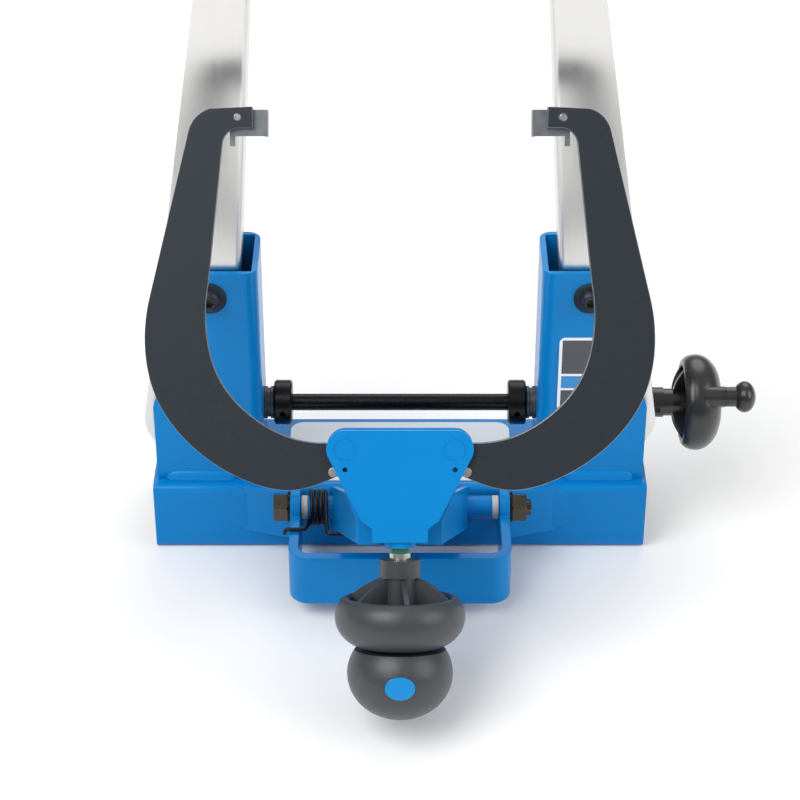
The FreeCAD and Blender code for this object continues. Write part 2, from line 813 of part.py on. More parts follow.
def bowl_ribs(radius, wall, boss, foot_share, heights):
    """Radial ribs in a bowl, standing out of its crown as fins; their axis is Z."""
    fin, crown, widest, end = heights
    mouth = radius * bowl_crown_share
    foot = radius * foot_share
    start = (boss, fin)
    finish = (mouth, crown + bowl_fin_sink)
    run = V(finish[0] - start[0], finish[1] - start[1], 0)
    out = V(run.y, -run.x, 0).normalize() * bowl_fin_bulge
    via = ((start[0] + finish[0]) / 2 + out.x, (start[1] + finish[1]) / 2 + out.y)
    skin = turned([(0, fin), start, finish + (via,), (mouth, crown + wall / 2)]
                  + bow((mouth, widest), radius - wall / 2 - mouth, crown + wall / 2 - widest, 90, 0)
                  + bow((foot, widest), radius - wall / 2 - foot, end - wall / 2 - widest, 0, 90)
                  + [(0, end - wall / 2)], ORIGIN, Z_AXIS)
    blade = box(boss / 2, radius, -bowl_rib_thickness / 2, bowl_rib_thickness / 2, fin, end)
    blade = blade.common(skin)
    ribs = []
    for i in range(bowl_rib_count):
        rib = blade.copy()
        rib.rotate(ORIGIN, Z_AXIS, 360 * i / bowl_rib_count)
        ribs.append(rib)
    return ribs


def side_knob():
    """Saucer crank knob: stepped hub, hollow finned bowl and a boss for the spinner."""
    hub = rod(side_hub_radius, ORIGIN, Z_AXIS, side_hub_length)
    hub = hub.fuse(rod(side_neck_radius, ORIGIN, Z_AXIS, side_crown_drop + side_bowl_wall))
    knob = hub.fuse(turned(bowl_profile(side_bowl_radius, side_bowl_wall, side_boss_radius, side_foot_share,
                                        side_heights), ORIGIN, Z_AXIS))
    for rib in bowl_ribs(side_bowl_radius, side_bowl_wall, side_neck_radius, side_foot_share, side_heights):
        knob = knob.fuse(rib)
    axis = V(side_hub_x, 0, screw_height)
    knob.Placement = FreeCAD.Placement(axis, FreeCAD.Rotation(Z_AXIS, X_AXIS))
    at = spinner_axis() + X_AXIS * side_front_x
    boss = rod(spinner_boss_radius, at - X_AXIS * spinner_boss_length, X_AXIS, spinner_boss_length)
    knob = knob.fuse(boss).removeSplitter()
    knob = knob.cut(rod(screw_radius + running_clearance, axis - X_AXIS * overrun, X_AXIS,
                        overrun + screw_end_x + screw_end_gap - side_hub_x))
    knob = knob.cut(rod(spinner_pin_radius + running_clearance, at - X_AXIS * spinner_pin_seat,
                        X_AXIS, spinner_pin_seat + overrun))
    grub = rod(grub_radius + running_clearance, axis + X_AXIS * side_hub_length / 2,
               -Y_AXIS, 2 * side_hub_radius)
    return knob.cut(grub)


def spinner_axis():
    """A point on the spinner's axis, in the plane X = 0."""
    angle = math.radians(crank_angle_deg)
    return V(0, -crank_arm_radius * math.cos(angle), screw_height + crank_arm_radius * math.sin(angle))


def knob_grub():
    """Set screw that locks the side knob to the spreading screw."""
    return rod(grub_radius, V(side_hub_x + side_hub_length / 2, -screw_radius, screw_height),
               -Y_AXIS, side_hub_radius - screw_radius - seat_clearance)


def spinner_pin():
    start = spinner_axis() + X_AXIS * (side_front_x - spinner_pin_seat)
    return rod(spinner_pin_radius, start, X_AXIS, spinner_pin_seat + spinner_pin_reach)


def spinner_grip():
    start = spinner_axis() + X_AXIS * (side_front_x + free_gap)
    bore = spinner_pin_radius + running_clearance
    depth = spinner_pin_reach - free_gap + seat_clearance
    start_angle = -math.acos(spinner_shank_radius / spinner_ball_radius)
    centre = spinner_shank_length - spinner_ball_half_length * math.sin(start_angle)
    pole = ball_arc_ends_deg[-1]
    bulb = bow((0, centre), spinner_ball_radius, spinner_ball_half_length, math.degrees(start_angle), pole)
    return turned([(0, depth), (bore, depth), (bore, 0), (spinner_shank_radius, 0),
                   (spinner_shank_radius, spinner_shank_length)] + bulb + [(0, bulb[-1][1])], start, X_AXIS)


def front_strap():
    reach = tube_front_y - strap_front_reach
    flare_y = tube_front_y - strap_flare_reach
    right = [V(strap_half_width, reach, 0), V(strap_half_width, flare_y, 0),
             V(strap_flare_x, tube_front_y, 0)]
    outer = [V(-p.x, p.y, 0) for p in reversed(right)] + right
    inner = mitred(outer, strap_thickness)
    run = (outer[0] - outer[1]).normalize() * overrun
    past = V(-run.x, run.y, 0)
    loop = [outer[0] + run] + outer[1:-1] + [outer[-1] + past, inner[-1] + past]
    loop += list(reversed(inner[1:-1])) + [inner[0] + run]
    strap = prism([(p.x, p.y, strap_bottom_height) for p in loop], Z_AXIS * strap_height)
    strap = rounded(strap, strap_corner_radius,
                    lambda e: runs_along(e, Z_AXIS) and middle(e).y < reach + strap_thickness / 2)
    strap = rounded(strap, strap_corner_radius - strap_thickness,
                    lambda e: runs_along(e, Z_AXIS)
                    and abs(middle(e).y - reach - strap_thickness) < tolerance)
    strap = strap.cut(box(-tube_length, tube_length, tube_front_y, tube_rear_y, -overrun, tube_height * 2))
    for side in (-1, 1):
        face = side * (strap_half_width - strap_thickness)
        ear = rod(strap_ear_radius, V(face, arm_pivot.y, arm_pivot.z), X_AXIS * side, strap_thickness)
        strap = strap.fuse(ear)
    strap = strap.removeSplitter()
    hole = rod(arm_bolt_radius + seat_clearance, V(-tube_length, arm_pivot.y, arm_pivot.z), X_AXIS,
               2 * tube_length)
    return strap.cut(hole)


def strap_weld():
    """Fillet weld down the outside of the strap's end."""
    z0 = strap_bottom_height + strap_weld_end_margin
    height = strap_height - 2 * strap_weld_end_margin
    slope = strap_flare_reach / (strap_flare_x - strap_half_width)
    back = strap_weld_leg * slope
    points = [(strap_flare_x, tube_front_y, z0), (strap_flare_x - strap_weld_leg, tube_front_y - back, z0),
              (strap_flare_x + strap_weld_foot, tube_front_y, z0)]
    return prism(points, Z_AXIS * height)


def arm_bolt():
    """Hex bolt through both ears, head on the left."""
    face = strap_half_width + arm_washer_thickness
    start = V(-face, arm_pivot.y, arm_pivot.z)
    head = hexagon(arm_nut_flat, start, -X_AXIS, arm_nut_height)
    shank = rod(arm_bolt_radius, start, X_AXIS, 2 * face + arm_nut_height + arm_bolt_tail)
    return head.fuse(shank).removeSplitter()


def arm_nut():
    face = strap_half_width + arm_washer_thickness
    nut = hexagon(arm_nut_flat, V(face, arm_pivot.y, arm_pivot.z), X_AXIS, arm_nut_height)
    return nut.cut(rod(arm_bolt_radius + running_clearance, arm_pivot, X_AXIS, tube_length))


def arm_washer():
    start = V(strap_half_width, arm_pivot.y, arm_pivot.z)
    disc = rod(arm_washer_radius, start, X_AXIS, arm_washer_thickness)
    return disc.cut(rod(arm_bolt_radius + running_clearance, arm_pivot, X_AXIS, tube_length))


def arm_bushing():
    """Flanged bush pressed in the end of the pivot tube."""
    flange = strap_half_width - strap_thickness - free_gap - arm_tube_half_length
    bore = arm_bolt_radius + running_clearance
    end = bushing_body_length + flange
    return turned([(bore, 0), (bushing_body_radius, 0), (bushing_body_radius, bushing_body_length),
                   (bushing_flange_radius, bushing_body_length), (bushing_flange_radius, end), (bore, end)],
                  V(arm_tube_half_length - bushing_body_length, arm_pivot.y, arm_pivot.z), X_AXIS)


def arm_axes():
    """The arm's direction and its upward normal, in the plane X = 0."""
    along = (arm_seat - arm_pivot).normalize()
    return along, V(0, along.z, -along.y)


def arm_blank(inset, low, high):
    """The arm's tapered plan, swept between two heights over its middle line."""
    along, up = arm_axes()
    half = arm_side_height / 2
    slope = (arm_front_half_width - arm_rear_half_width) / arm_length
    a0 = -half - overrun
    a1 = arm_length + half
    corners = []
    for a, side in ((a0, -1), (a1, -1), (a1, 1), (a0, 1)):
        width = arm_rear_half_width + slope * a - inset
        corners.append(arm_pivot + along * a + up * low + X_AXIS * (side * width))
    face = Part.Face(Part.makePolygon(corners + corners[:1]))
    return face.extrude(up * (high - low))


def caliper_arm():
    along, up = arm_axes()
    half = arm_side_height / 2
    outer = arm_blank(0, -half, half)
    side = Part.Face(Part.makePolygon([arm_pivot + along * a + up * b + X_AXIS * -tube_length
                                       for a, b in ((0, -half), (arm_length + half, -half),
                                                    (arm_length + half, half), (0, half), (0, -half))]))
    profile = side.extrude(X_AXIS * 2 * tube_length)
    profile = profile.fuse(rod(half, arm_pivot - X_AXIS * tube_length, X_AXIS, 2 * tube_length))
    arm = outer.common(profile).cut(arm_blank(arm_wall, arm_wall - half, half + overrun))
    beyond = in_head(box(-tube_length, tube_length, -tube_length, tube_length, back_plate_rear, tube_length))
    arm = arm.cut(beyond)
    tube = rod(arm_tube_radius, arm_pivot - X_AXIS * arm_tube_half_length, X_AXIS, 2 * arm_tube_half_length)
    arm = arm.fuse(tube).removeSplitter()
    arm = arm.cut(rod(arm_bolt_radius + seat_clearance, arm_pivot - X_AXIS * tube_length, X_AXIS,
                      2 * tube_length))
    for side in (-1, 1):
        start = arm_pivot + X_AXIS * (side * (arm_tube_half_length - bushing_body_length))
        arm = arm.cut(rod(bushing_body_radius + running_clearance, start, X_AXIS * side, tube_length))
    return arm


def torsion_spring():
    """Coil round the left end of the pivot tube, one leg under the arm, the other over the strap."""
    along, up = arm_axes()
    strap_rest = V(0, arm_pivot.y - spring_leg_reach,
                   strap_bottom_height + strap_height + spring_wire_radius + free_gap)
    arm_rest = arm_pivot + along * spring_leg_reach \
        - up * (arm_side_height / 2 + spring_wire_radius + free_gap)

    def touch(point, sign):
        away = point - arm_pivot
        angle = math.atan2(-away.z, away.y) + sign * math.acos(spring_mean_radius / away.Length)
        return angle, math.sqrt(away.Length ** 2 - spring_mean_radius ** 2)
    start_angle, arm_leg = touch(arm_rest, 1)
    end_angle, strap_leg = touch(strap_rest, -1)
    end_angle += 2 * math.pi * spring_whole_turns
    centre = V(-spring_inner_x, arm_pivot.y, arm_pivot.z)
    coil, place, heading = helix_arcs(centre, -X_AXIS, Y_AXIS, spring_mean_radius, spring_pitch,
                                      start_angle, end_angle - start_angle)
    arm_corner = place(start_angle) - heading(start_angle) * arm_leg
    strap_corner = place(end_angle) + heading(end_angle) * strap_leg
    hook_x = -strap_half_width - spring_hook_outside
    over = V(hook_x, strap_corner.y, strap_corner.z)
    leg_in = route([arm_corner + X_AXIS * spring_arm_hook, arm_corner, place(start_angle)],
                   spring_bend_radius)
    leg_out = route([place(end_angle), strap_corner, over, over - Z_AXIS * spring_hook_drop],
                    spring_bend_radius)
    edges = leg_in + coil + leg_out
    print("torsion spring least gap", round(self_gap(edges, spring_wire_radius), 3))
    return wire_solid(edges, spring_wire_radius)


def tangent_point(point, centre, radius):
    """Where the line from a point touches the outer side of a circle."""
    away = centre - point
    angle = math.atan2(away.y, away.x) - math.asin(radius / away.Length)
    reach = math.sqrt(away.Length ** 2 - radius ** 2)
    return point + V(math.cos(angle), math.sin(angle), 0) * reach


def head_plate(waist, foot, front):
    """A head plate: rounded over both caliper pivots, drawn in below them; front is its outer face."""
    pivot = V(jaw_pivot_x, jaw_pivot_height, 0)
    radius = head_top - jaw_pivot_height
    touch = tangent_point(waist, pivot, radius)
    half = [V(jaw_pivot_x, head_top, 0), V(jaw_pivot_x, jaw_pivot_height, 0), touch, waist] + foot
    points = half + [V(-p.x, p.y, 0) for p in reversed(half)]
    outline = [(p.x, p.y, front - head_plate_thickness) for p in points]
    plate = prism(outline, Z_AXIS * head_plate_thickness)
    for side in (-1, 1):
        corner = V(side * jaw_pivot_x, jaw_pivot_height, front - head_plate_thickness)
        plate = plate.fuse(rod(radius, corner, Z_AXIS, head_plate_thickness))
    return plate.removeSplitter()


def pin_holes(plate, radius):
    for side in (-1, 1):
        start = V(side * jaw_pivot_x, jaw_pivot_height, -tube_length)
        plate = plate.cut(rod(radius, start, Z_AXIS, 2 * tube_length))
    return plate


def head_front_plate():
    waist = V(head_waist_half_width, head_waist_height, 0)
    foot = [V(tongue_half_width, tongue_shoulder_height, 0), V(tongue_half_width, 0, 0)]
    plate = pin_holes(head_plate(waist, foot, 0), jaw_pin_head_radius + seat_clearance)
    for side in (-1, 1):
        start = V(side * jaw_pivot_x, sight_hole_height, -overrun)
        plate = plate.cut(rod(sight_hole_radius, start, Z_AXIS, 2 * overrun))
    return in_head(plate)


def head_back_plate():
    waist = V(back_plate_half_width, back_plate_waist_height, 0)
    foot = [V(back_plate_half_width, -back_plate_foot_drop, 0)]
    return in_head(pin_holes(head_plate(waist, foot, back_plate_front), jaw_pin_radius + seat_clearance))


def head_guide():
    """Block between the plates' lower ends, with the stud's bore and a neck below."""
    block = box(-tongue_half_width, tongue_half_width, 0, guide_height, back_plate_front,
                -head_plate_thickness)
    neck = rod(guide_neck_radius, V(0, 0, stud_depth), -Y_AXIS, guide_neck_length)
    neck = neck.common(box(-tube_length, tube_length, -tube_length, 0, back_plate_front, 0))
    bore = rod(stud_radius + running_clearance, V(0, guide_height + overrun, stud_depth), -Y_AXIS,
               guide_height + guide_neck_length + 2 * overrun)
    return in_head(block.fuse(neck).removeSplitter().cut(bore))


def jaw_pin():
    """Caliper pivot: a shouldered pin through both plates, its head flush in the front one."""
    start = V(jaw_pivot_x, jaw_pivot_height, back_plate_rear)
    shank = rod(jaw_pin_radius, start, Z_AXIS, -back_plate_rear)
    head = rod(jaw_pin_head_radius, V(jaw_pivot_x, jaw_pivot_height, 0), -Z_AXIS, head_plate_thickness)
    return in_head(shank.fuse(head).removeSplitter())


def jaw_spacer():
    low = V(jaw_pivot_x, jaw_pivot_height, back_plate_front)
    length = jaw_back - free_gap - back_plate_front
    sleeve = rod(jaw_spacer_radius, low, Z_AXIS, length)
    return in_head(sleeve.cut(rod(jaw_pin_radius + seat_clearance, low - Z_AXIS * overrun, Z_AXIS,
                                  length + 2 * overrun)))


def jaw_point(share):
    """A caliper outline point, from shares of its bow and its reach past the pivot."""
    return V(jaw_pivot_x + share[0] * jaw_bow, jaw_pivot_height + share[1] * jaw_reach, jaw_back)


def jaw_arc(start, via, end):
    return Part.Arc(jaw_point(start), jaw_point(via), jaw_point(end)).toShape()


def jaw_line(start, end):
    return Part.LineSegment(jaw_point(start), jaw_point(end)).toShape()


def jaw_curve(shares):
    curve = Part.BSplineCurve()
    curve.interpolate([jaw_point(share) for share in shares])
    return curve.toShape()


def lever_end():
    """The link pin's place at rest, as seen on the right-hand caliper."""
    return V(link_pin_x, link_pin_height, jaw_back)


def caliper():
    outer = jaw_outer_shares
    inner = jaw_inner_shares
    edges = [jaw_line(jaw_tip_share, jaw_shoulder_shares[0]), jaw_arc(*jaw_shoulder_shares),
             jaw_line(jaw_shoulder_shares[-1], outer[0]), jaw_curve(outer), jaw_line(outer[-1], inner[0]),
             jaw_curve(inner), jaw_line(inner[-1], jaw_throat_shares[0]), jaw_arc(*jaw_throat_shares),
             jaw_line(jaw_throat_shares[-1], jaw_nose_share), jaw_line(jaw_nose_share, jaw_tip_share)]
    plate = Part.Face(Part.Wire(edges)).extrude(Z_AXIS * jaw_thickness)
    pivot = V(jaw_pivot_x, jaw_pivot_height, jaw_back)
    hub = rod(head_top - jaw_pivot_height - free_gap, pivot, Z_AXIS, jaw_thickness)
    end = lever_end()
    along = (end - pivot).normalize()
    across = V(-along.y, along.x, 0) * jaw_lever_lobe
    lever = prism([tuple(p) for p in (pivot + across, end + across, end - across, pivot - across)],
                  Z_AXIS * jaw_thickness)
    lobe = rod(jaw_lever_lobe, end, Z_AXIS, jaw_thickness)
    plate = plate.fuse(hub).fuse(lever).fuse(lobe).removeSplitter()
    plate = plate.cut(rod(jaw_pin_radius + running_clearance, pivot - Z_AXIS * overrun, Z_AXIS, 3 * overrun))
    slot_radius = jaw_link_pin_radius + jaw_slot_clearance
    wide = V(-along.y, along.x, 0) * slot_radius
    a = end + along * jaw_slot_extra - Z_AXIS * overrun
    b = end - along * jaw_slot_extra - Z_AXIS * overrun
    slot = prism([tuple(p) for p in (a + wide, b + wide, b - wide, a - wide)], Z_AXIS * 3 * overrun)
    for p in (a, b):
        slot = slot.fuse(rod(slot_radius, p, Z_AXIS, 3 * overrun))
    plate = plate.cut(slot)
    screw = feeler_screw_place()
    return in_head(plate.cut(rod(feeler_screw_radius + seat_clearance, screw - Z_AXIS * overrun, Z_AXIS,
                                 3 * overrun)))


def feeler_screw_place():
    nose = jaw_point(jaw_nose_share)
    return V(nose.x + feeler_width, nose.y + feeler_screw_rise, jaw_back)


def feeler():
    """Bent gauge lip on the back of the caliper's tip."""
    place = feeler_screw_place()
    top = place.y + feeler_width / 2
    low = jaw_point(jaw_nose_share).y - feeler_width / 2
    outside = place.x + feeler_width / 2
    inside = outside - feeler_reach
    z0 = jaw_back - feeler_thickness
    body = box(inside, outside, low, top, z0, jaw_back)
    hook = box(outside - feeler_hook_width, outside, low - feeler_hook_drop, low, z0, jaw_back)
    lip = box(inside, inside + feeler_thickness, low, top, z0 - feeler_lip, z0)
    bent = body.fuse(hook).fuse(lip).removeSplitter()
    return in_head(bent.cut(rod(feeler_screw_radius + seat_clearance, place - Z_AXIS * overrun,
                                Z_AXIS, 2 * overrun)))


def feeler_screw():
    place = feeler_screw_place()
    under = place - Z_AXIS * feeler_thickness
    head = rod(feeler_screw_head_radius, under, -Z_AXIS, feeler_screw_head_height)
    return in_head(head.fuse(rod(feeler_screw_radius, under, Z_AXIS,
                                 feeler_thickness + jaw_thickness)).removeSplitter())


def slide_block():
    """Block between the plates that the stud draws down; it carries both link pins."""
    low = link_pin_height - slide_height / 2
    high = link_pin_height + slide_height / 2
    z0 = back_plate_front + free_gap
    z1 = jaw_back - free_gap
    block = box(-slide_half_width, slide_half_width, low, high, z0, z1)
    rib_half = link_pin_x_min() - jaw_lever_lobe - free_gap / 2
    block = block.fuse(box(-rib_half, rib_half, low, high, z1, jaw_front - free_gap))
    block = block.removeSplitter()
    block = block.cut(rod(stud_spigot_radius + seat_clearance, V(0, low - overrun, stud_depth), Y_AXIS,
                          overrun + slide_stud_seat))
    for side in (-1, 1):
        block = block.cut(rod(jaw_link_pin_radius, V(side * link_pin_x, link_pin_height, z0 - overrun),
                              Z_AXIS, 2 * overrun + z1 - z0))
    return in_head(block)


def link_pin_x_min():
    """The lever end's least distance from the middle, when the lever lies level."""
    return jaw_pivot_x - jaw_lever


def link_pin():
    z0 = back_plate_front + free_gap
    return in_head(rod(jaw_link_pin_radius, V(link_pin_x, link_pin_height, z0), Z_AXIS, jaw_front - z0))


def stud():
    shoulder = slide_height / 2 - link_pin_height
    top = shoulder - slide_stud_seat + seat_clearance
    return stud_part([(0, top), (stud_spigot_radius, top), (stud_spigot_radius, shoulder),
                      (stud_radius, shoulder), (stud_radius, stud_end), (0, stud_end)])


def return_spring():
    """Compression spring round the stud, between the guide and the slide block."""
    low = guide_height + return_end_gap + return_wire_radius
    high = link_pin_height - slide_height / 2 - return_end_gap - return_wire_radius
    pitch = (high - low) / return_turns
    coil, place, heading = helix_arcs(V(0, low, stud_depth), Y_AXIS, X_AXIS, return_mean_radius, pitch,
                                      0, 2 * math.pi * return_turns)
    print("return spring least gap", round(self_gap(coil, return_wire_radius), 3))
    return in_head(wire_solid(coil, return_wire_radius))


def washer_on_stud(start, length, radius):
    bore = stud_radius + seat_clearance
    return stud_part([(bore, start), (radius, start), (radius, start + length), (bore, start + length)])


def saucer_knob():
    """Knob with a stepped hub and a hollow finned bowl; its bore takes the brass insert and the stud."""
    fin, crown = saucer_heights[:2]
    knob = stud_part([(0, knob_start), (knob_hub_radius, knob_start),
                      (knob_hub_radius, knob_start + knob_hub_length),
                      (knob_boss_radius, knob_start + knob_hub_length),
                      (knob_boss_radius, crown + saucer_wall), (0, crown + saucer_wall)])
    knob = knob.fuse(stud_part(bowl_profile(saucer_radius, saucer_wall, knob_boss_radius, saucer_foot_share,
                                            saucer_heights)))
    upright_ribs = bowl_ribs(saucer_radius, saucer_wall, knob_boss_radius, saucer_foot_share, saucer_heights)
    on_stud = FreeCAD.Placement(V(0, 0, stud_depth), FreeCAD.Rotation(X_AXIS, 90))
    for rib in upright_ribs:
        rib.rotate(ORIGIN, Z_AXIS, 90 - saucer_rib_turn_deg)
        rib.Placement = on_stud.multiply(rib.Placement)
        knob = knob.fuse(in_head(rib))
    knob = knob.removeSplitter()
    clear = stud_part([(0, knob_start - overrun), (insert_radius + running_clearance, knob_start - overrun),
                       (insert_radius + running_clearance, knob_start + insert_length),
                       (stud_radius + free_gap, knob_start + insert_length),
                       (stud_radius + free_gap, saucer_end + overrun), (0, saucer_end + overrun)])
    return knob.cut(clear)


def knob_insert():
    bore = stud_radius + running_clearance
    end = knob_start + insert_length
    return stud_part([(bore, knob_start), (insert_radius, knob_start), (insert_radius, end), (bore, end)])


def ball_point(angle_deg):
    angle = math.radians(angle_deg)
    return ball_radius * math.cos(angle), ball_centre + ball_half_height * math.sin(angle)


def ball_knob():
    cut = math.degrees(math.asin(ball_cut_share))
    low, pole = ball_arc_ends_deg
    ball = stud_part([(0, ball_start), ball_point(-cut), ball_point(0) + (ball_point(-cut / 2),),
                      ball_point(low) + (ball_point(low / 2),),
                      ball_point(pole) + (ball_point((low + pole) / 2),), (0, ball_point(pole)[1])])
    bore = stud_radius + running_clearance
    foot = stud_end + seat_clearance
    seat = stud_part([(0, ball_start - overrun), (bore, ball_start - overrun), (bore, foot), (0, foot)])
    return ball.cut(seat).cut(cap_blank(seat_clearance, cap_face() + overrun))


def cap_face():
    """Height of the oval cap's face over the head's front face."""
    return stud_depth + math.sqrt(ball_radius ** 2 - cap_half_width ** 2) + cap_proud


def cap_blank(extra, top):
    """The oval cap, grown sideways by an extra width."""
    start = V(0, -ball_centre - cap_drop, cap_face() - cap_thickness)
    oval = Part.Ellipse(start, cap_half_width + extra, cap_half_height + extra).toShape()
    face = Part.Face(Part.Wire([oval]))
    return in_head(face.extrude(Z_AXIS * (top - cap_face() + cap_thickness)))


def main():
    os.makedirs("parts", exist_ok=True)
    both = ("left", "right")

    def pair(shape):
        return Part.makeCompound([on_side(shape, side) for side in both])

    leaned = lean_out(upright_with_holes())
    seat = lean_out(axle_seat())
    screws = Part.makeCompound([lean_out(seat_screw(place)) for place in seat_screw_places()])
    nut_parts = [on_side(piece, side) for side in both for piece in hinge_nut()]
    spacer_parts = [on_side(piece, side) for side in both for piece in hinge_spacers()]
    welds = [on_side(bracket_weld(y), side) for side in both
             for y in (-bracket_half_depth, bracket_half_depth)]
    nodes = {
        "base_tube": base_tube(),
        "base_end_plugs": pair(end_plug()),
        "top_plate": top_plate(),
        "bracket_welds": Part.makeCompound(welds),
        "label_plate": label_plate(),
        "hinge_bolts": pair(hinge_bolt()),
        "hinge_nuts": Part.makeCompound(nut_parts),
        "hinge_spacers": Part.makeCompound(spacer_parts),
        "front_strap": front_strap(),
        "strap_welds": pair(strap_weld()),
        "arm_bolt": arm_bolt(),
        "arm_nut": arm_nut(),
        "arm_washers": pair(arm_washer()),
        "screw_bushes": pair(screw_bush()),
        "spreading_screw": spreading_screw(),
        "screw_collars": pair(screw_collar()),
        "side_knob": side_knob(),
        "knob_grub": knob_grub(),
        "spinner_pin": spinner_pin(),
        "spinner_grip": spinner_grip(),
        "caliper_arm": caliper_arm(),
        "arm_bushings": pair(arm_bushing()),
        "torsion_spring": torsion_spring(),
        "head_front_plate": head_front_plate(),
        "head_back_plate": head_back_plate(),
        "head_guide": head_guide(),
        "jaw_pins": pair(jaw_pin()),
        "jaw_spacers": pair(jaw_spacer()),
        "slide_block": slide_block(),
        "link_pins": pair(link_pin()),
        "stud": stud(),
        "return_spring": return_spring(),
        "thrust_ring": washer_on_stud(ring_start, ring_length, ring_radius),
        "thrust_spacer": washer_on_stud(spacer_start, spacer_length, spacer_radius),
        "saucer_knob": saucer_knob(),
        "knob_insert": knob_insert(),
        "ball_knob": ball_knob(),
        "ball_cap": cap_blank(0, cap_face()),
    }
    for side in both:
        nodes["bracket_" + side] = on_side(bracket(), side)
        nodes["upright_" + side] = on_side(leaned, side)
        nodes["axle_seat_" + side] = on_side(seat, side)
        nodes["seat_screws_" + side] = on_side(screws, side)
        nodes["trunnion_" + side] = on_side(trunnion(), side)
        nodes["caliper_" + side] = on_side(caliper(), side)
        nodes["feeler_" + side] = on_side(feeler(), side)
        nodes["feeler_screw_" + side] = on_side(feeler_screw(), side)
    for name, shape in nodes.items():
        if not shape.isValid() or not shape.Solids:
            raise ValueError(name + " is not a sound solid")
        shape.exportStep("parts/" + name + ".step")
    print(len(nodes), "nodes")


if __name__ == "__main__":
    main()
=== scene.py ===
"""Bicycle wheel truing stand: its finishes, fine forms and a plain studio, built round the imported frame."""
import json
import math
import bmesh
import bpy
import numpy as np
from bpy.props import FloatProperty, FloatVectorProperty, IntProperty, PointerProperty
from bpy.types import Operator, Panel, PropertyGroup
from mathutils import Matrix, Vector

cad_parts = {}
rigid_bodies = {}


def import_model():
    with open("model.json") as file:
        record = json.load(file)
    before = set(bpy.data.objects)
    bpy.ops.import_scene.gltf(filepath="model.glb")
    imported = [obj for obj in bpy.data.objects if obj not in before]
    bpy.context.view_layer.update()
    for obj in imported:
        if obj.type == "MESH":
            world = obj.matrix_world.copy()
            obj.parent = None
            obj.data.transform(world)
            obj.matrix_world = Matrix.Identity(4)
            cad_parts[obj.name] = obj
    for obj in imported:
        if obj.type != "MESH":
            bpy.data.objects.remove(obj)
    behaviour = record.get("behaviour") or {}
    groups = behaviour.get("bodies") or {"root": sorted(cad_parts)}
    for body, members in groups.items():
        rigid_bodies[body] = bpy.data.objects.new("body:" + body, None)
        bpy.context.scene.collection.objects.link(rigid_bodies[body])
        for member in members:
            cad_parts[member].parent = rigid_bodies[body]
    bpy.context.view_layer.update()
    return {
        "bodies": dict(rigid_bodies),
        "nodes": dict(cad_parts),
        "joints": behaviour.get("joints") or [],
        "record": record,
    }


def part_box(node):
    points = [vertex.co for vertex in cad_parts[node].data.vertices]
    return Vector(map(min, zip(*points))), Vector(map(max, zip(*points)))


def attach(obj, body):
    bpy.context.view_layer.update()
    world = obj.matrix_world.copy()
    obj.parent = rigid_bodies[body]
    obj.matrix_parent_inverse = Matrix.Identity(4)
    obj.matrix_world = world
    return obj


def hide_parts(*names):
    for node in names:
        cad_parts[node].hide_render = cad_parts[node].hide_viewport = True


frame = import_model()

bl_info = {
    "name": "Wheel truing stand",
    "version": (1, 0, 0),
    "blender": (4, 5, 0),
    "location": "3D View > Sidebar > Truing stand",
    "description": "Dresses a wheel truing stand: powder coat, nickel plate, blackened steel and moulded knobs",
    "category": "Object",
}

MM = 0.001
JOINTS = {joint["name"]: joint for joint in frame["joints"]}


def linear(hex_colour, alpha=True):
    """An sRGB hex colour as linear values."""
    digits = hex_colour.lstrip("#")
    levels = [int(digits[i:i + 2], 16) / 255 for i in (0, 2, 4)]
    values = [v / 12.92 if v <= 0.04045 else ((v + 0.055) / 1.055) ** 2.4 for v in levels]
    return tuple(values + [1.0]) if alpha else tuple(values)


def colour_setting(label, words, hex_colour):
    return FloatVectorProperty(name=label, description=words, subtype="COLOR", size=4, min=0, max=1,
                               default=linear(hex_colour))


def length_setting(label, words, millimetres):
    return FloatProperty(name=label, description=words, default=millimetres * MM, min=0, unit="LENGTH")


class StandColours(PropertyGroup):
    """Colours of the stand's finishes."""
    coat: colour_setting("Powder coat", "Blue baked powder on the tube, brackets, strap and head", "#0080c8")
    nickel: colour_setting("Nickel", "Brushed nickel plate of the uprights", "#e4e3e0")
    phosphate: colour_setting("Phosphate", "Dark phosphate coat of the calipers", "#2f363d")
    # Pale grey painted on the calipers' rounded edges as a painted highlight; the same colour is the feelers' own
    # grey steel.
    edge_highlight_and_feeler_grey: colour_setting("Edge highlight and feeler grey", "Painted highlight on the calipers' rounded edges, and the feelers' own grey", "#8d9297")
    oxide: colour_setting("Black oxide", "Black oxide of the screw and its collars", "#242425")
    browned: colour_setting("Browned steel", "Oil-browned steel of the arm's bolt and nut", "#5d554c")
    zinc: colour_setting("Zinc", "Bright zinc plate of bolts, nuts and the stud", "#c6c9cc")
    nylon: colour_setting("Nylon", "Dark moulded nylon of the front knobs", "#3b3e42")
    polished: colour_setting("Polished nylon", "Black polished nylon of the side knob and its grip", "#1d1e20")
    pale_nylon: colour_setting("Pale nylon", "Natural nylon of the washers", "#dcdad2")
    cap: colour_setting("Cap", "Blue inlay in the ball knob", "#0089d0")
    ring: colour_setting("Thrust ring", "Green thrust ring on the stud", "#2c7657")
    film: colour_setting("Film", "Silver film on the base tube", "#c3c9d1")
    label_dark: colour_setting("Label ground", "Dark fields of the bare label", "#3a3f46")
    label_line: colour_setting("Label line", "White lines and border of the label", "#eef0f2")
    label_band: colour_setting("Label band", "Blue band of the label", "#1286c9")


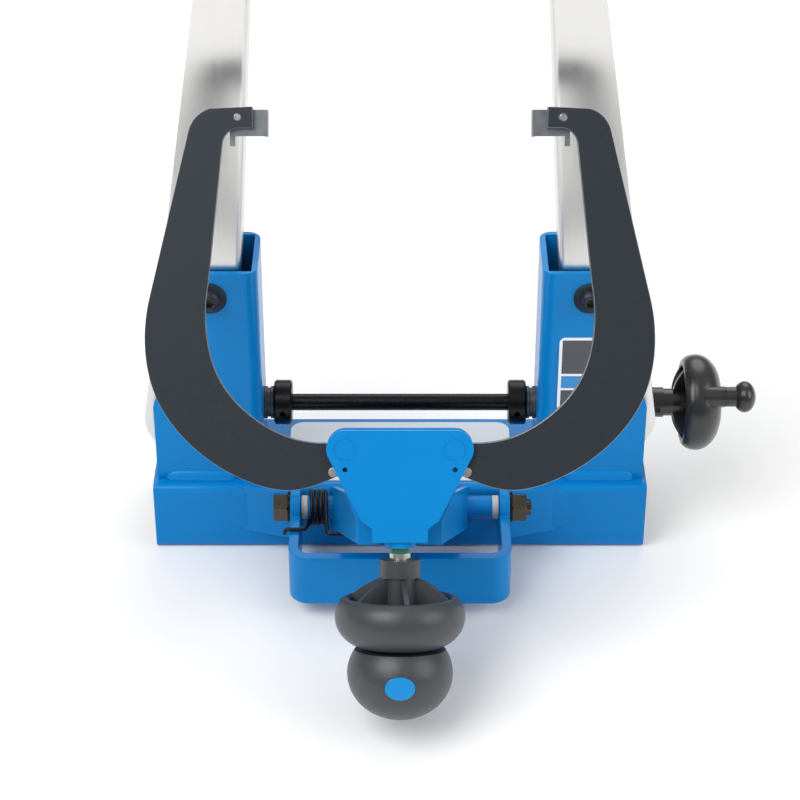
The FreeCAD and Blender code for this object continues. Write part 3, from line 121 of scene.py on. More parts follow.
class StandSizes(PropertyGroup):
    """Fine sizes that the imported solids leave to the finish."""
    sheet_round: length_setting("Sheet edge", "Rounding of the sheet parts' edges", 0.45)
    plate_round: length_setting("Plate edge", "Rounding of the ground plates' edges", 0.4)
    small_round: length_setting("Small edge", "Rounding of the small turned parts' edges", 0.18)
    bolt_round: length_setting("Bolt edge", "Rounding of the arm bolt's head and nut", 0.6)
    moulded_round: length_setting("Moulded edge", "Rounding of the moulded knobs' edges", 0.55)
    thread_pitch: length_setting("Thread pitch", "Pitch of the spreading screw", 1.5)
    thread_depth: length_setting("Thread depth", "Depth of the spreading screw's thread", 0.55)
    round_steps: IntProperty(name="Round steps", description="Facets round a full turn", default=96, min=12)


class StandStudio(PropertyGroup):
    """Lights, ground and the camera of the plain studio."""
    key_power: FloatProperty(name="Key", description="Power of the large light", default=30, min=0, unit="POWER")
    fill_power: FloatProperty(name="Fill", description="Power of the side light", default=12, min=0, unit="POWER")
    rear_power: FloatProperty(name="Rear", description="Power of the light behind", default=12, min=0, unit="POWER")
    world_level: FloatProperty(name="World", description="Level of the soft light all round", default=0.62, min=0)
    camera_back: length_setting("Camera distance", "From the stand's middle to the camera, level", 988.4)
    camera_up: length_setting("Camera height", "Height of the camera", 739.1)
    camera_tilt: FloatProperty(name="Tilt", description="How far down the camera looks", default=math.radians(34),
                               subtype="ANGLE")
    camera_lens: FloatProperty(name="Lens", description="Focal length in millimetres", default=105.75, min=10)
    ground: colour_setting("Ground", "Floor of the studio", "#f8f8f7")


SETTINGS = (("stand_colours", StandColours), ("stand_sizes", StandSizes), ("stand_studio", StandStudio))


def colours():
    return bpy.context.scene.stand_colours


def sizes():
    return bpy.context.scene.stand_sizes


def node(tree, kind, values=None, links=None, **settings):
    """Adds a shader node with its settings, input values and incoming links."""
    made = tree.nodes.new(kind)
    for key, value in settings.items():
        setattr(made, key, value)
    for key, value in (values or {}).items():
        made.inputs[key].default_value = value
    for key, source in (links or {}).items():
        tree.links.new(source, made.inputs[key])
    return made


def new_finish(name, **values):
    """An empty material with its main shader; the values go straight on the shader's sockets."""
    material = bpy.data.materials.new(name)
    material.use_nodes = True
    shader = material.node_tree.nodes["Principled BSDF"]
    for key, value in values.items():
        shader.inputs[key.replace("_", " ")].default_value = value
    return material, material.node_tree, shader


def per_millimetre(size):
    """A texture scale whose features are about so many millimetres wide."""
    return 1 / (size * MM)


def noise(tree, size, detail=3.0, stretch=(1, 1, 1)):
    """Noise on Object coordinates whose grains are so many millimetres wide; a stretch below one draws them out
    along that axis."""
    place = node(tree, "ShaderNodeTexCoord")
    mapped = node(tree, "ShaderNodeMapping", {"Scale": stretch}, {"Vector": place.outputs["Object"]})
    return node(tree, "ShaderNodeTexNoise", {"Scale": per_millimetre(size), "Detail": detail},
                {"Vector": mapped.outputs["Vector"]})


def varied(tree, shader, source, socket, low, high):
    """Lets a grey pattern move one of the shader's values between two levels."""
    ranged = node(tree, "ShaderNodeMapRange", {"From Min": 0.3, "From Max": 0.7, "To Min": low, "To Max": high},
                  {"Value": source})
    tree.links.new(ranged.outputs["Result"], shader.inputs[socket])


def tinted(tree, shader, source, colour, darker):
    """Lets a pattern darken a colour by a share."""
    dark = tuple(c * (1 - darker) for c in colour[:3]) + (1,)
    mix = node(tree, "ShaderNodeMix", links={"Factor": source}, data_type="RGBA")
    mix.inputs["A"].default_value = dark
    mix.inputs["B"].default_value = tuple(colour)
    tree.links.new(mix.outputs["Result"], shader.inputs["Base Color"])


def bumped(tree, shader, source, height, strength=1.0):
    """Raises the surface by a pattern, its height in millimetres."""
    bump = node(tree, "ShaderNodeBump", {"Strength": strength, "Distance": height * MM}, {"Height": source})
    tree.links.new(bump.outputs["Normal"], shader.inputs["Normal"])


def powder_coat():
    """Polyester powder baked on steel: deep blue under a thin gloss, with the faint orange peel of molten
    powder, so that edges and steep faces catch pale light."""
    material, tree, shader = new_finish("polyester_powder_coat", Roughness=0.45, Specular_IOR_Level=0.08,
                                        Coat_Weight=0.45, Coat_Roughness=0.1, Coat_IOR=1.34)
    tinted(tree, shader, noise(tree, 40, 2).outputs["Fac"], colours().coat, 0.07)
    bumped(tree, shader, noise(tree, 1.3, 2).outputs["Fac"], 0.04, 0.4)
    return material


def nickel_plate():
    """Steel brushed lengthwise and nickel plated: pale, with fine straight streaks along the sheet."""
    material, tree, shader = new_finish("brushed_nickel_plate", Metallic=1.0, Anisotropic=0.5)
    streaks = noise(tree, 0.5, 2, (1, 1, 0.01)).outputs["Fac"]
    tinted(tree, shader, streaks, colours().nickel, 0.09)
    varied(tree, shader, streaks, "Roughness", 0.3, 0.4)
    bumped(tree, shader, streaks, 0.01, 0.25)
    return material


def phosphate_coat():
    """Manganese phosphate on ground plate: dark slate, dull, with a fine crystal grain."""
    material, tree, shader = new_finish("manganese_phosphate", Metallic=0.5)
    grain = noise(tree, 1.1, 4).outputs["Fac"]
    tinted(tree, shader, grain, colours().phosphate, 0.2)
    varied(tree, shader, grain, "Roughness", 0.38, 0.5)
    bumped(tree, shader, grain, 0.02, 0.35)
    return material


def edge_highlight_and_feeler_steel():
    """The phosphate coat made paler and smoother. On the calipers' rounded edges it is a painted highlight; on the
    feelers it is their own grey steel.
    """
    material, tree, shader = new_finish("painted_edge_highlight_and_feeler_steel", Metallic=0.8)
    mottle = noise(tree, 3, 3).outputs["Fac"]
    # Pale colour: a painted highlight where it lies on the caliper edges, the feelers' own grey elsewhere.
    tinted(tree, shader, mottle, colours().edge_highlight_and_feeler_grey, 0.35)
    varied(tree, shader, mottle, "Roughness", 0.26, 0.4)
    return material


def black_oxide():
    """Hot blackened and oiled turned steel: nearly black, with sharp grey highlights."""
    material, tree, shader = new_finish("hot_black_oxide", Metallic=0.85)
    grain = noise(tree, 2, 3).outputs["Fac"]
    tinted(tree, shader, grain, colours().oxide, 0.25)
    varied(tree, shader, grain, "Roughness", 0.2, 0.32)
    return material


def browned_steel():
    """Turned steel browned in hot oil: a dark bronze tone with bright, clean highlights."""
    material, tree, shader = new_finish("oil_browned_steel", Metallic=1.0)
    grain = noise(tree, 2.5, 3).outputs["Fac"]
    tinted(tree, shader, grain, colours().browned, 0.25)
    varied(tree, shader, grain, "Roughness", 0.16, 0.26)
    return material


def zinc_plate():
    """Bright zinc on bolts and pins: silver with a slight blue, a little cloudy."""
    material, tree, shader = new_finish("bright_zinc_plate", Metallic=1.0)
    cloud = noise(tree, 3, 3).outputs["Fac"]
    tinted(tree, shader, cloud, colours().zinc, 0.14)
    varied(tree, shader, cloud, "Roughness", 0.2, 0.34)
    return material


def moulded_nylon():
    """Glass-filled nylon from a spark-eroded mould: dark grey satin with a fine pebble grain."""
    material, tree, shader = new_finish("glass_filled_nylon", IOR=1.53)
    tinted(tree, shader, noise(tree, 25, 3).outputs["Fac"], colours().nylon, 0.12)
    pebble = noise(tree, 0.7, 2).outputs["Fac"]
    varied(tree, shader, pebble, "Roughness", 0.36, 0.44)
    bumped(tree, shader, pebble, 0.04, 0.35)
    return material


def polished_nylon():
    """Nylon from a polished mould: black and shiny, with slow waves where the wall shrank."""
    material, tree, shader = new_finish("polished_nylon", IOR=1.53, Coat_Weight=0.25, Coat_Roughness=0.14)
    waves = noise(tree, 18, 2).outputs["Fac"]
    tinted(tree, shader, waves, colours().polished, 0.15)
    varied(tree, shader, waves, "Roughness", 0.27, 0.34)
    bumped(tree, shader, waves, 0.15, 0.2)
    return material


def natural_nylon():
    """Unfilled nylon washers: milky and soft-edged."""
    material, tree, shader = new_finish("natural_nylon", Roughness=0.42, Subsurface_Weight=0.15,
                                        Subsurface_Scale=0.002)
    tinted(tree, shader, noise(tree, 4, 2).outputs["Fac"], colours().pale_nylon, 0.06)
    return material


def spring_wire():
    """Patented spring wire, drawn and oil blued: dark brown-black with lengthwise sheen."""
    material, tree, shader = new_finish("oil_blued_spring_wire", Metallic=0.9)
    grain = noise(tree, 1.5, 3).outputs["Fac"]
    tinted(tree, shader, grain, linear("#3b3733"), 0.3)
    varied(tree, shader, grain, "Roughness", 0.28, 0.4)
    return material


def turned_brass():
    """Free-cutting brass, turned: yellow with fine rings dulled by handling."""
    material, tree, shader = new_finish("turned_brass", Metallic=1.0)
    grain = noise(tree, 1.5, 3).outputs["Fac"]
    tinted(tree, shader, grain, linear("#c8a45a"), 0.2)
    varied(tree, shader, grain, "Roughness", 0.24, 0.38)
    return material


def silver_film():
    """Aluminised polyester film stuck on the tube: pale, flat silver with a fine brushed print."""
    material, tree, shader = new_finish("aluminised_film", Metallic=0.25, Coat_Weight=0.2, Coat_Roughness=0.2)
    lines = noise(tree, 0.8, 3, (0.04, 1, 1)).outputs["Fac"]
    tinted(tree, shader, lines, colours().film, 0.06)
    varied(tree, shader, lines, "Roughness", 0.34, 0.44)
    return material


def blue_inlay():
    """Blue acrylic inlay: even colour under a clear smooth face."""
    material, tree, shader = new_finish("blue_acrylic_inlay", Roughness=0.2, Coat_Weight=0.5, Coat_Roughness=0.08)
    tinted(tree, shader, noise(tree, 6, 2).outputs["Fac"], colours().cap, 0.05)
    return material


def green_ring():
    """Moulded acetal thrust ring: green, smooth and slightly see-through."""
    material, tree, shader = new_finish("green_acetal", Roughness=0.22, Transmission_Weight=0.25,
                                        Coat_Weight=0.4, Coat_Roughness=0.1)
    tinted(tree, shader, noise(tree, 3, 2).outputs["Fac"], colours().ring, 0.15)
    return material


LABEL_BANDS = ((0.0, "line"), (0.035, "dark"), (0.283, "line"), (0.309, "band"), (0.478, "line"), (0.508, "dark"),
               (0.965, "line"))
LABEL_BORDER = 1.5


def label_film():
    """Printed polyester label: dark fields, a blue band and white lines under a clear gloss, nothing written."""
    material, tree, shader = new_finish("printed_polyester", Roughness=0.3, Coat_Weight=0.4, Coat_Roughness=0.12)
    low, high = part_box("label_plate")
    tone = {"line": colours().label_line, "dark": colours().label_dark, "band": colours().label_band}
    place = node(tree, "ShaderNodeTexCoord")
    parts = node(tree, "ShaderNodeSeparateXYZ", links={"Vector": place.outputs["Object"]})
    height = node(tree, "ShaderNodeMapRange", {"From Min": low.z, "From Max": high.z},
                  {"Value": parts.outputs["Z"]})
    bands = node(tree, "ShaderNodeValToRGB", links={"Fac": height.outputs["Result"]})
    bands.color_ramp.interpolation = "CONSTANT"
    stops = bands.color_ramp.elements
    while len(stops) < len(LABEL_BANDS):
        stops.new(0.5)
    for stop, (start, name) in zip(stops, LABEL_BANDS):
        stop.position = start
        stop.color = tone[name]
    middle = (low.x + high.x) / 2
    offset = node(tree, "ShaderNodeMath", {1: middle}, {0: parts.outputs["X"]}, operation="SUBTRACT")
    away = node(tree, "ShaderNodeMath", links={0: offset.outputs[0]}, operation="ABSOLUTE")
    edge = node(tree, "ShaderNodeMath", {1: (high.x - low.x) / 2 - LABEL_BORDER * MM}, {0: away.outputs[0]},
                operation="GREATER_THAN")
    mix = node(tree, "ShaderNodeMix", links={"Factor": edge.outputs[0]}, data_type="RGBA")
    tree.links.new(bands.outputs["Color"], mix.inputs["A"])
    mix.inputs["B"].default_value = tone["line"]
    tree.links.new(mix.outputs["Result"], shader.inputs["Base Color"])
    return material


FINISHES = {
    "coat": powder_coat, "nickel": nickel_plate, "phosphate": phosphate_coat, "edge": edge_highlight_and_feeler_steel,
    "oxide": black_oxide, "browned": browned_steel, "zinc": zinc_plate, "nylon": moulded_nylon,
    "polished": polished_nylon, "pale_nylon": natural_nylon, "spring": spring_wire, "brass": turned_brass,
    "film": silver_film, "inlay": blue_inlay, "green": green_ring, "label": label_film,
}
made_finishes = {}


def finish(name):
    """The named finish, made once."""
    if name not in made_finishes:
        made_finishes[name] = FINISHES[name]()
    return made_finishes[name]


def coat_node(name, *finish_names):
    """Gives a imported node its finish."""
    slots = frame["nodes"][name].data.materials
    slots.clear()
    for finish_name in finish_names:
        slots.append(finish(finish_name))


def body_of(name):
    """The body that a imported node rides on."""
    return next(body for body, empty in frame["bodies"].items() if frame["nodes"][name].parent is empty)


def slot_of(name):
    """The record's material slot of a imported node."""
    return next(part["material_slot"] for part in frame["record"]["subparts"] if part["node"] == name)


def full_turn(steps):
    """So many angles, evenly round a full turn."""
    return np.linspace(0, 2 * math.pi, steps + 1)[:-1]


def grid_mesh(name, points, closed_u=False, closed_v=False):
    """A mesh of a grid of points: each point is joined to its next along both parameters."""
    count_u, count_v = points.shape[:2]
    index = np.arange(count_u * count_v).reshape(count_u, count_v)
    if closed_u:
        index = np.vstack([index, index[:1]])
    if closed_v:
        index = np.hstack([index, index[:, :1]])
    quads = np.stack([index[:-1, :-1], index[1:, :-1], index[1:, 1:], index[:-1, 1:]], axis=-1)
    mesh = bpy.data.meshes.new(name)
    mesh.from_pydata(points.reshape(-1, 3), [], quads.reshape(-1, 4).tolist())
    return mesh


GRID_MERGE = 1e-6
SOLID_MERGE = 2e-6
FLAT_WITHIN = 0.4
EDGE_SEGMENTS = 3


def closed_up(mesh):
    """Merges doubles, which closes seams and poles, and turns all faces outwards."""
    work = bmesh.new()
    work.from_mesh(mesh)
    bmesh.ops.remove_doubles(work, verts=work.verts, dist=GRID_MERGE)
    bmesh.ops.recalc_face_normals(work, faces=work.faces)
    work.to_mesh(mesh)
    work.free()
    return mesh


def add_piece(name, mesh, body, slot, *finish_names, crease=35.0):
    """A finished mesh as a piece that rides on a body; edges sharper than the crease stay sharp."""
    piece = bpy.data.objects.new(name, mesh)
    bpy.context.scene.collection.objects.link(piece)
    for finish_name in finish_names:
        mesh.materials.append(finish(finish_name))
    mesh.shade_smooth()
    mesh.set_sharp_from_angle(angle=math.radians(crease))
    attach(piece, body)
    return piece


def rounded_copy(name, radius, main, edge=None, sharp=32.0):
    """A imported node's mesh with its flat faces joined and its sharp edges rounded; it stands for the node."""
    source = frame["nodes"][name]
    mesh = source.data.copy()
    mesh.materials.clear()
    work = bmesh.new()
    work.from_mesh(mesh)
    bmesh.ops.remove_doubles(work, verts=work.verts, dist=SOLID_MERGE)
    bmesh.ops.dissolve_limit(work, angle_limit=math.radians(FLAT_WITHIN), verts=work.verts, edges=work.edges)
    work.to_mesh(mesh)
    work.free()
    piece = add_piece(name + "_finished", mesh, body_of(name), slot_of(name), main, *([edge] if edge else []))
    bevel = piece.modifiers.new("Rounded edges", "BEVEL")
    bevel.width = radius
    bevel.segments = EDGE_SEGMENTS
    bevel.limit_method = "ANGLE"
    bevel.angle_limit = math.radians(sharp)
    bevel.use_clamp_overlap = True
    # The rounded edge faces take the second finish; on the calipers that pale finish is a painted highlight.
    bevel.material = 1 if edge else -1
    weighted = piece.modifiers.new("Even shading", "WEIGHTED_NORMAL")
    weighted.keep_sharp = True
    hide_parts(name)
    return piece


THREAD_RINGS_PER_PITCH = 9
THREAD_FACETS = 48
THREAD_INSIDE = 5.0
THREAD_LENGTH = 36.0
THREAD_FULLNESS = 1.3
THREAD_CREST = 0.15
SCREW_CHAMFER = 0.7


def threaded_rod():
    """The spreading screw. Its radius falls off the outer radius by a triangle wave of (x / pitch -+ angle / turn)
    with flattened crests and roots, right-handed on the right and left-handed on the left, over both thread lengths;
    its ends are chamfered."""
    low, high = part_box("spreading_screw")
    radius = (high.z - low.z) / 2
    axis_height = (high.z + low.z) / 2
    pitch = sizes().thread_pitch
    depth = sizes().thread_depth
    x = np.linspace(low.x, high.x, int((high.x - low.x) / pitch * THREAD_RINGS_PER_PITCH))
    grid_x, grid_angle = np.meshgrid(x, full_turn(THREAD_FACETS), indexing="ij")
    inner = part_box("bracket_right")[0].x + THREAD_INSIDE * MM
    zone = np.clip((np.abs(grid_x) - inner) / pitch, 0, 1) * (np.abs(grid_x) < inner + THREAD_LENGTH * MM)
    phase = grid_x / pitch - np.sign(grid_x) * grid_angle / (2 * math.pi)
    wave = np.abs((phase % 1) * 2 - 1)
    cut = depth * np.clip(wave * THREAD_FULLNESS - THREAD_CREST, 0, 1) * zone
    end = np.minimum(grid_x - low.x, high.x - grid_x)
    chamfer = np.clip(SCREW_CHAMFER * MM - end, 0, None)
    reach = radius - np.maximum(cut, chamfer)
    points = np.stack([grid_x, reach * np.cos(grid_angle), axis_height + reach * np.sin(grid_angle)], axis=-1)
    start = points[:1].copy()
    start[..., 1:] = (0, axis_height)
    stop = points[-1:].copy()
    stop[..., 1:] = (0, axis_height)
    mesh = closed_up(grid_mesh("threaded_rod", np.concatenate([start, points, stop]), closed_v=True))
    piece = add_piece("threaded_rod", mesh, "screw", "black_oxide_steel", "oxide", crease=50)
    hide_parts("spreading_screw")


WELD_START = 14.4
STRAP_WELD_FOOT = 6.0
STRAP_WELD_LEG = 2.0
BEAD_STEPS = 13
BEAD_FULLNESS = 1.25
BEAD_SINK = 0.01


def weld_bead(start, stop, out, up):
    """A painted fillet bead. Across, its face runs from one leg to the other along powers of the cosine and sine
    of a quarter turn; along the run it is drawn in at both ends by the root of one less a power of the distance
    from the middle. Its back lies in the two plates."""
    run = stop - start
    u = np.linspace(0, 1, sizes().round_steps)
    v = np.linspace(0, 1, BEAD_STEPS)
    grid_u, grid_v = np.meshgrid(u, v, indexing="ij")
    ends = np.sqrt(np.clip(1 - (2 * np.abs(grid_u - 0.5)) ** (run.length / up.length), 0, 1))[..., None]
    angle = grid_v[..., None] * math.pi / 2
    base = np.array(start) + grid_u[..., None] * np.array(run)
    foot, leg = np.array(out), np.array(up)
    face = base + ends * (np.cos(angle) ** BEAD_FULLNESS * foot + np.sin(angle) ** BEAD_FULLNESS * leg)
    root = base[:, :1] - BEAD_SINK * (foot + leg)
    mesh = closed_up(grid_mesh("bead", np.concatenate([face, root], axis=1), closed_v=True))
    work = bmesh.new()
    work.from_mesh(mesh)
    bmesh.ops.holes_fill(work, edges=[e for e in work.edges if e.is_boundary])
    work.to_mesh(mesh)
    work.free()
    return mesh


def joined(name, meshes):
    """Several meshes as one; the single ones are removed."""
    work = bmesh.new()
    for mesh in meshes:
        work.from_mesh(mesh)
        bpy.data.meshes.remove(mesh)
    total = bpy.data.meshes.new(name)
    work.to_mesh(total)
    work.free()
    return total


def head_place():
    """The caliper head's own frame: X across, Y up its plates and Z out of its front face."""
    knob = JOINTS["saucer_knob_turn"]
    up = -Vector(knob["axis"]).normalized()
    out = Vector(JOINTS["caliper_right_hinge"]["axis"]).normalized()
    rows = Matrix((Vector((1, 0, 0)), up, out)).transposed().to_4x4()
    rows.translation = Vector(knob["pos_m"])
    return rows


SHOULDER_STEPS = 6


def disc_mesh(name, radius, low, high, rounding):
    """A turned button: its profile is a straight side, a quarter-round shoulder and a flat face."""
    turn = full_turn(sizes().round_steps // 2)
    quarter = np.linspace(0, math.pi / 2, SHOULDER_STEPS)
    profile_r = np.concatenate([[0, radius], radius - rounding + rounding * np.cos(quarter), [0]])
    profile_z = np.concatenate([[low, low], high - rounding + rounding * np.sin(quarter), [high]])
    points = np.stack([profile_r[:, None] * np.cos(turn), profile_r[:, None] * np.sin(turn),
                       np.repeat(profile_z[:, None], len(turn), axis=1)], axis=-1)
    return closed_up(grid_mesh(name, points, closed_v=True))


HINGE_FLANGE_RADIUS, HINGE_FLANGE_HEIGHT = 8.2, 1.6
HINGE_FLANGE_CHAMFER = 0.3
HINGE_HEAD_RADIUS, HINGE_HEAD_HEIGHT = 5.6, 4.0
HINGE_SOCKET_RADIUS, HINGE_SOCKET_DEPTH = 2.6, 2.4
HINGE_SOCKET_LIP = 0.5
HINGE_SOCKET_SINK = 0.15
HINGE_DRILL_POINT = 0.6
HINGE_SHANK_RADIUS = 5.0
DOME_STEPS = 9


def hinge_bolt_mesh(x, height, front, back):
    """A flanged button-head bolt turned about Y. Its profile runs up the flange and the quarter-elliptic dome,
    down into the socket, whose radius follows a hexagon: its half width over the cosine of the angle from
    the nearest flat; the shank closes it behind."""
    turn = full_turn(sizes().round_steps)
    dome = np.linspace(0, math.pi / 2, DOME_STEPS)
    behind = (front - back) / MM
    crown = HINGE_FLANGE_HEIGHT + HINGE_HEAD_HEIGHT
    floor = crown - HINGE_SOCKET_DEPTH
    span = HINGE_HEAD_RADIUS - HINGE_SOCKET_RADIUS
    edge = HINGE_FLANGE_HEIGHT / 2
    profile = [(0, behind, 0), (HINGE_SHANK_RADIUS, behind, 0), (HINGE_SHANK_RADIUS, 0, 0),
               (HINGE_FLANGE_RADIUS, 0, 0), (HINGE_FLANGE_RADIUS, edge, 0),
               (HINGE_FLANGE_RADIUS - HINGE_FLANGE_CHAMFER, edge + HINGE_FLANGE_CHAMFER, 0),
               (HINGE_HEAD_RADIUS, HINGE_FLANGE_HEIGHT, 0)]
    profile += [(HINGE_SOCKET_RADIUS + span * math.cos(a), HINGE_FLANGE_HEIGHT + HINGE_HEAD_HEIGHT * math.sin(a), 0)
                for a in dome[1:-1]]
    profile += [(HINGE_SOCKET_RADIUS + HINGE_SOCKET_LIP, crown, 0),
                (HINGE_SOCKET_RADIUS, crown - HINGE_SOCKET_SINK, 1),
                (HINGE_SOCKET_RADIUS, floor, 1), (0, floor - HINGE_DRILL_POINT, 0)]
    radius, rise, hexed = np.array(profile).T[..., None]
    flat = math.cos(math.pi / 6) / np.cos(turn % (math.pi / 3) - math.pi / 6)
    reach = radius * (1 + hexed * (flat - 1)) * MM
    depth = np.broadcast_to(front - rise * MM, reach.shape)
    points = np.stack([x + reach * np.cos(turn), depth, height + reach * np.sin(turn)], axis=-1)
    return closed_up(grid_mesh("hinge_bolt", points, closed_v=True))


WIRE_FACETS = 10


def ring_mesh(name, radius, wire):
    """A thin raised ring: a circle of the wire's radius carried round a larger circle."""
    around, along = np.meshgrid(full_turn(sizes().round_steps // 2), full_turn(WIRE_FACETS), indexing="ij")
    reach = radius + wire * np.cos(along)
    points = np.stack([reach * np.cos(around), reach * np.sin(around), wire * np.sin(along)], axis=-1)
    return closed_up(grid_mesh(name, points, closed_u=True, closed_v=True))


def front_height(name, place):
    """How far a node's front face stands out in a frame of its own."""
    node_mesh = frame["nodes"][name].data
    points = np.empty(3 * len(node_mesh.vertices))
    node_mesh.vertices.foreach_get("co", points)
    local = np.array(place.inverted() @ frame["nodes"][name].matrix_world)
    return float((points.reshape(-1, 3) @ local[2, :3] + local[2, 3]).max())


class BasePieces(Operator):
    """Base tube, its end plugs and the bare silver film"""
    bl_idname = "stand.base"
    bl_label = "Base"

    def execute(self, context):
        rounded_copy("base_tube", sizes().sheet_round, "coat")
        rounded_copy("base_end_plugs", sizes().small_round, "nylon")
        coat_node("top_plate", "film")
        return {"FINISHED"}


class BracketPieces(Operator):
    """Bracket channels with their weld beads, bare label and hinge fittings"""
    bl_idname = "stand.brackets"
    bl_label = "Brackets"

    def execute(self, context):
        for side in ("left", "right"):
            rounded_copy("bracket_" + side, sizes().sheet_round, "coat")
        coat_node("label_plate", "label")
        low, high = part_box("hinge_bolts")
        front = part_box("bracket_right")[0].y
        reach = HINGE_FLANGE_RADIUS * MM
        bolts = [hinge_bolt_mesh(x, (low.z + high.z) / 2, front, high.y) for x in (low.x + reach, high.x - reach)]
        piece = add_piece("hinge_bolts_finished", joined("hinge_bolts_finished", bolts), "stand",
                          "black_oxide_steel", "phosphate")
        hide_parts("hinge_bolts")
        rounded_copy("hinge_nuts", sizes().small_round, "oxide")
        coat_node("hinge_spacers", "pale_nylon")
        low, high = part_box("bracket_welds")
        bracket_low, bracket_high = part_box("bracket_right")
        up = Vector((0, 0, high.z - low.z))
        beads = []
        for x_sign in (-1, 1):
            for y_sign in (-1, 1):
                start = Vector((x_sign * (bracket_low.x + WELD_START * MM), y_sign * bracket_high.y, low.z))
                stop = Vector((x_sign * high.x, y_sign * bracket_high.y, low.z))
                beads.append(weld_bead(start, stop, Vector((0, y_sign * (high.y - bracket_high.y), 0)), up))
        mesh = joined("bracket_beads", beads)
        piece = add_piece("bracket_beads", mesh, "stand", "blue_powder_coat", "coat", crease=70)
        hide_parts("bracket_welds")
        return {"FINISHED"}


class UprightPieces(Operator):
    """Nickel-plated uprights with their hardened axle seats and screws"""
    bl_idname = "stand.uprights"
    bl_label = "Uprights"

    def execute(self, context):
        for side in ("left", "right"):
            rounded_copy("upright_" + side, sizes().sheet_round, "nickel")
            rounded_copy("axle_seat_" + side, sizes().plate_round, "zinc")
            rounded_copy("seat_screws_" + side, sizes().small_round, "oxide")
            rounded_copy("trunnion_" + side, sizes().small_round, "brass")
        return {"FINISHED"}


class ScrewPieces(Operator):
    """Spreading screw with both threads, its collars and bushes"""
    bl_idname = "stand.screw"
    bl_label = "Spreading screw"

    def execute(self, context):
        threaded_rod()
        rounded_copy("screw_collars", sizes().small_round, "oxide")
        rounded_copy("screw_bushes", sizes().small_round, "nylon")
        return {"FINISHED"}


class SideKnobPieces(Operator):
    """Crank knob on the screw with its spinning grip"""
    bl_idname = "stand.side_knob"
    bl_label = "Side knob"

    def execute(self, context):
        rounded_copy("side_knob", sizes().moulded_round, "polished")
        rounded_copy("spinner_grip", sizes().small_round, "polished")
        coat_node("spinner_pin", "zinc")
        coat_node("knob_grub", "oxide")
        return {"FINISHED"}


class StrapPieces(Operator):
    """Front strap with its weld beads, the arm's bolt, nut and washers"""
    bl_idname = "stand.strap"
    bl_label = "Front strap"

    def execute(self, context):
        rounded_copy("front_strap", sizes().sheet_round, "coat")
        low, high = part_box("strap_welds")
        foot = STRAP_WELD_FOOT * MM
        beads = []
        for sign in (-1, 1):
            start = Vector((sign * (high.x - foot), high.y, low.z))
            stop = Vector((sign * (high.x - foot), high.y, high.z))
            beads.append(weld_bead(start, stop, Vector((sign * foot, 0, 0)),
                                   Vector((-sign * STRAP_WELD_LEG * MM, low.y - high.y, 0))))
        piece = add_piece("strap_beads", joined("strap_beads", beads), "stand", "blue_powder_coat", "coat", crease=70)
        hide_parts("strap_welds")
        rounded_copy("arm_bolt", sizes().bolt_round, "browned")
        rounded_copy("arm_nut", sizes().bolt_round, "browned")
        rounded_copy("arm_washers", sizes().small_round, "oxide")
        return {"FINISHED"}


class ArmPieces(Operator):
    """Caliper arm, its bushings and the torsion spring"""
    bl_idname = "stand.arm"
    bl_label = "Arm"

    def execute(self, context):
        rounded_copy("caliper_arm", sizes().sheet_round, "coat")
        rounded_copy("arm_bushings", sizes().plate_round, "pale_nylon")
        coat_node("torsion_spring", "spring")
        return {"FINISHED"}


class HeadPieces(Operator):
    """Head plates, guide and pins, and what slides between them"""
    bl_idname = "stand.head"
    bl_label = "Head"

    def execute(self, context):
        for name in ("head_front_plate", "head_back_plate", "head_guide"):
            rounded_copy(name, sizes().plate_round, "coat")
        rounded_copy("jaw_pins", sizes().plate_round, "coat")
        for name in ("slide_block", "thrust_spacer"):
            rounded_copy(name, sizes().small_round, "zinc")
        coat_node("jaw_spacers", "pale_nylon")
        coat_node("link_pins", "zinc")
        coat_node("stud", "zinc")
        coat_node("return_spring", "spring")
        rounded_copy("thrust_ring", sizes().small_round, "green")
        return {"FINISHED"}


PIVOT_RING_RADIUS, PIVOT_RING_WIRE = 4.9, 0.3
STOP_PIN_RADIUS = 2.2
STOP_PIN_PROUD, STOP_PIN_SUNK = 0.14, 1.0
STOP_PIN_ROUND = 0.1
STOP_PIN_OUT, STOP_PIN_DOWN = 5.4, 10.8
CALIPER_THICKNESS = 4.0


class CaliperPieces(Operator):
    """Calipers with their rounded edges painted pale as a highlight, feelers and stop pins"""
    bl_idname = "stand.calipers"
    bl_label = "Calipers"

    def execute(self, context):
        place = head_place()
        for side, sign in (("left", -1), ("right", 1)):
            # The edge finish on the calipers' rounded edges is a painted highlight; the feelers wear it as their own
            # grey.
            rounded_copy("caliper_" + side, sizes().plate_round, "phosphate", "edge")
            rounded_copy("feeler_" + side, sizes().small_round, "edge")
            rounded_copy("feeler_screw_" + side, sizes().small_round, "zinc")
            pivot = Vector(JOINTS["caliper_" + side + "_hinge"]["pos_m"])
            local = place.inverted() @ pivot
            pin = disc_mesh("stop_pin", STOP_PIN_RADIUS * MM, -STOP_PIN_SUNK * MM, STOP_PIN_PROUD * MM,
                            STOP_PIN_ROUND * MM)
            spot = Vector((local.x + sign * STOP_PIN_OUT * MM, local.y - STOP_PIN_DOWN * MM,
                           local.z + CALIPER_THICKNESS * MM))
            pin.transform(place @ Matrix.Translation(spot))
            add_piece("stop_pin_" + side, pin, "jaw_" + side, "zinc_steel", "zinc")
            ring = ring_mesh("pivot_ring", PIVOT_RING_RADIUS * MM, PIVOT_RING_WIRE * MM)
            ring.transform(place @ Matrix.Translation((local.x, local.y, front_height("head_front_plate", place))))
            add_piece("pivot_ring_" + side, ring, "arm", "blue_powder_coat", "coat", crease=70)
        return {"FINISHED"}


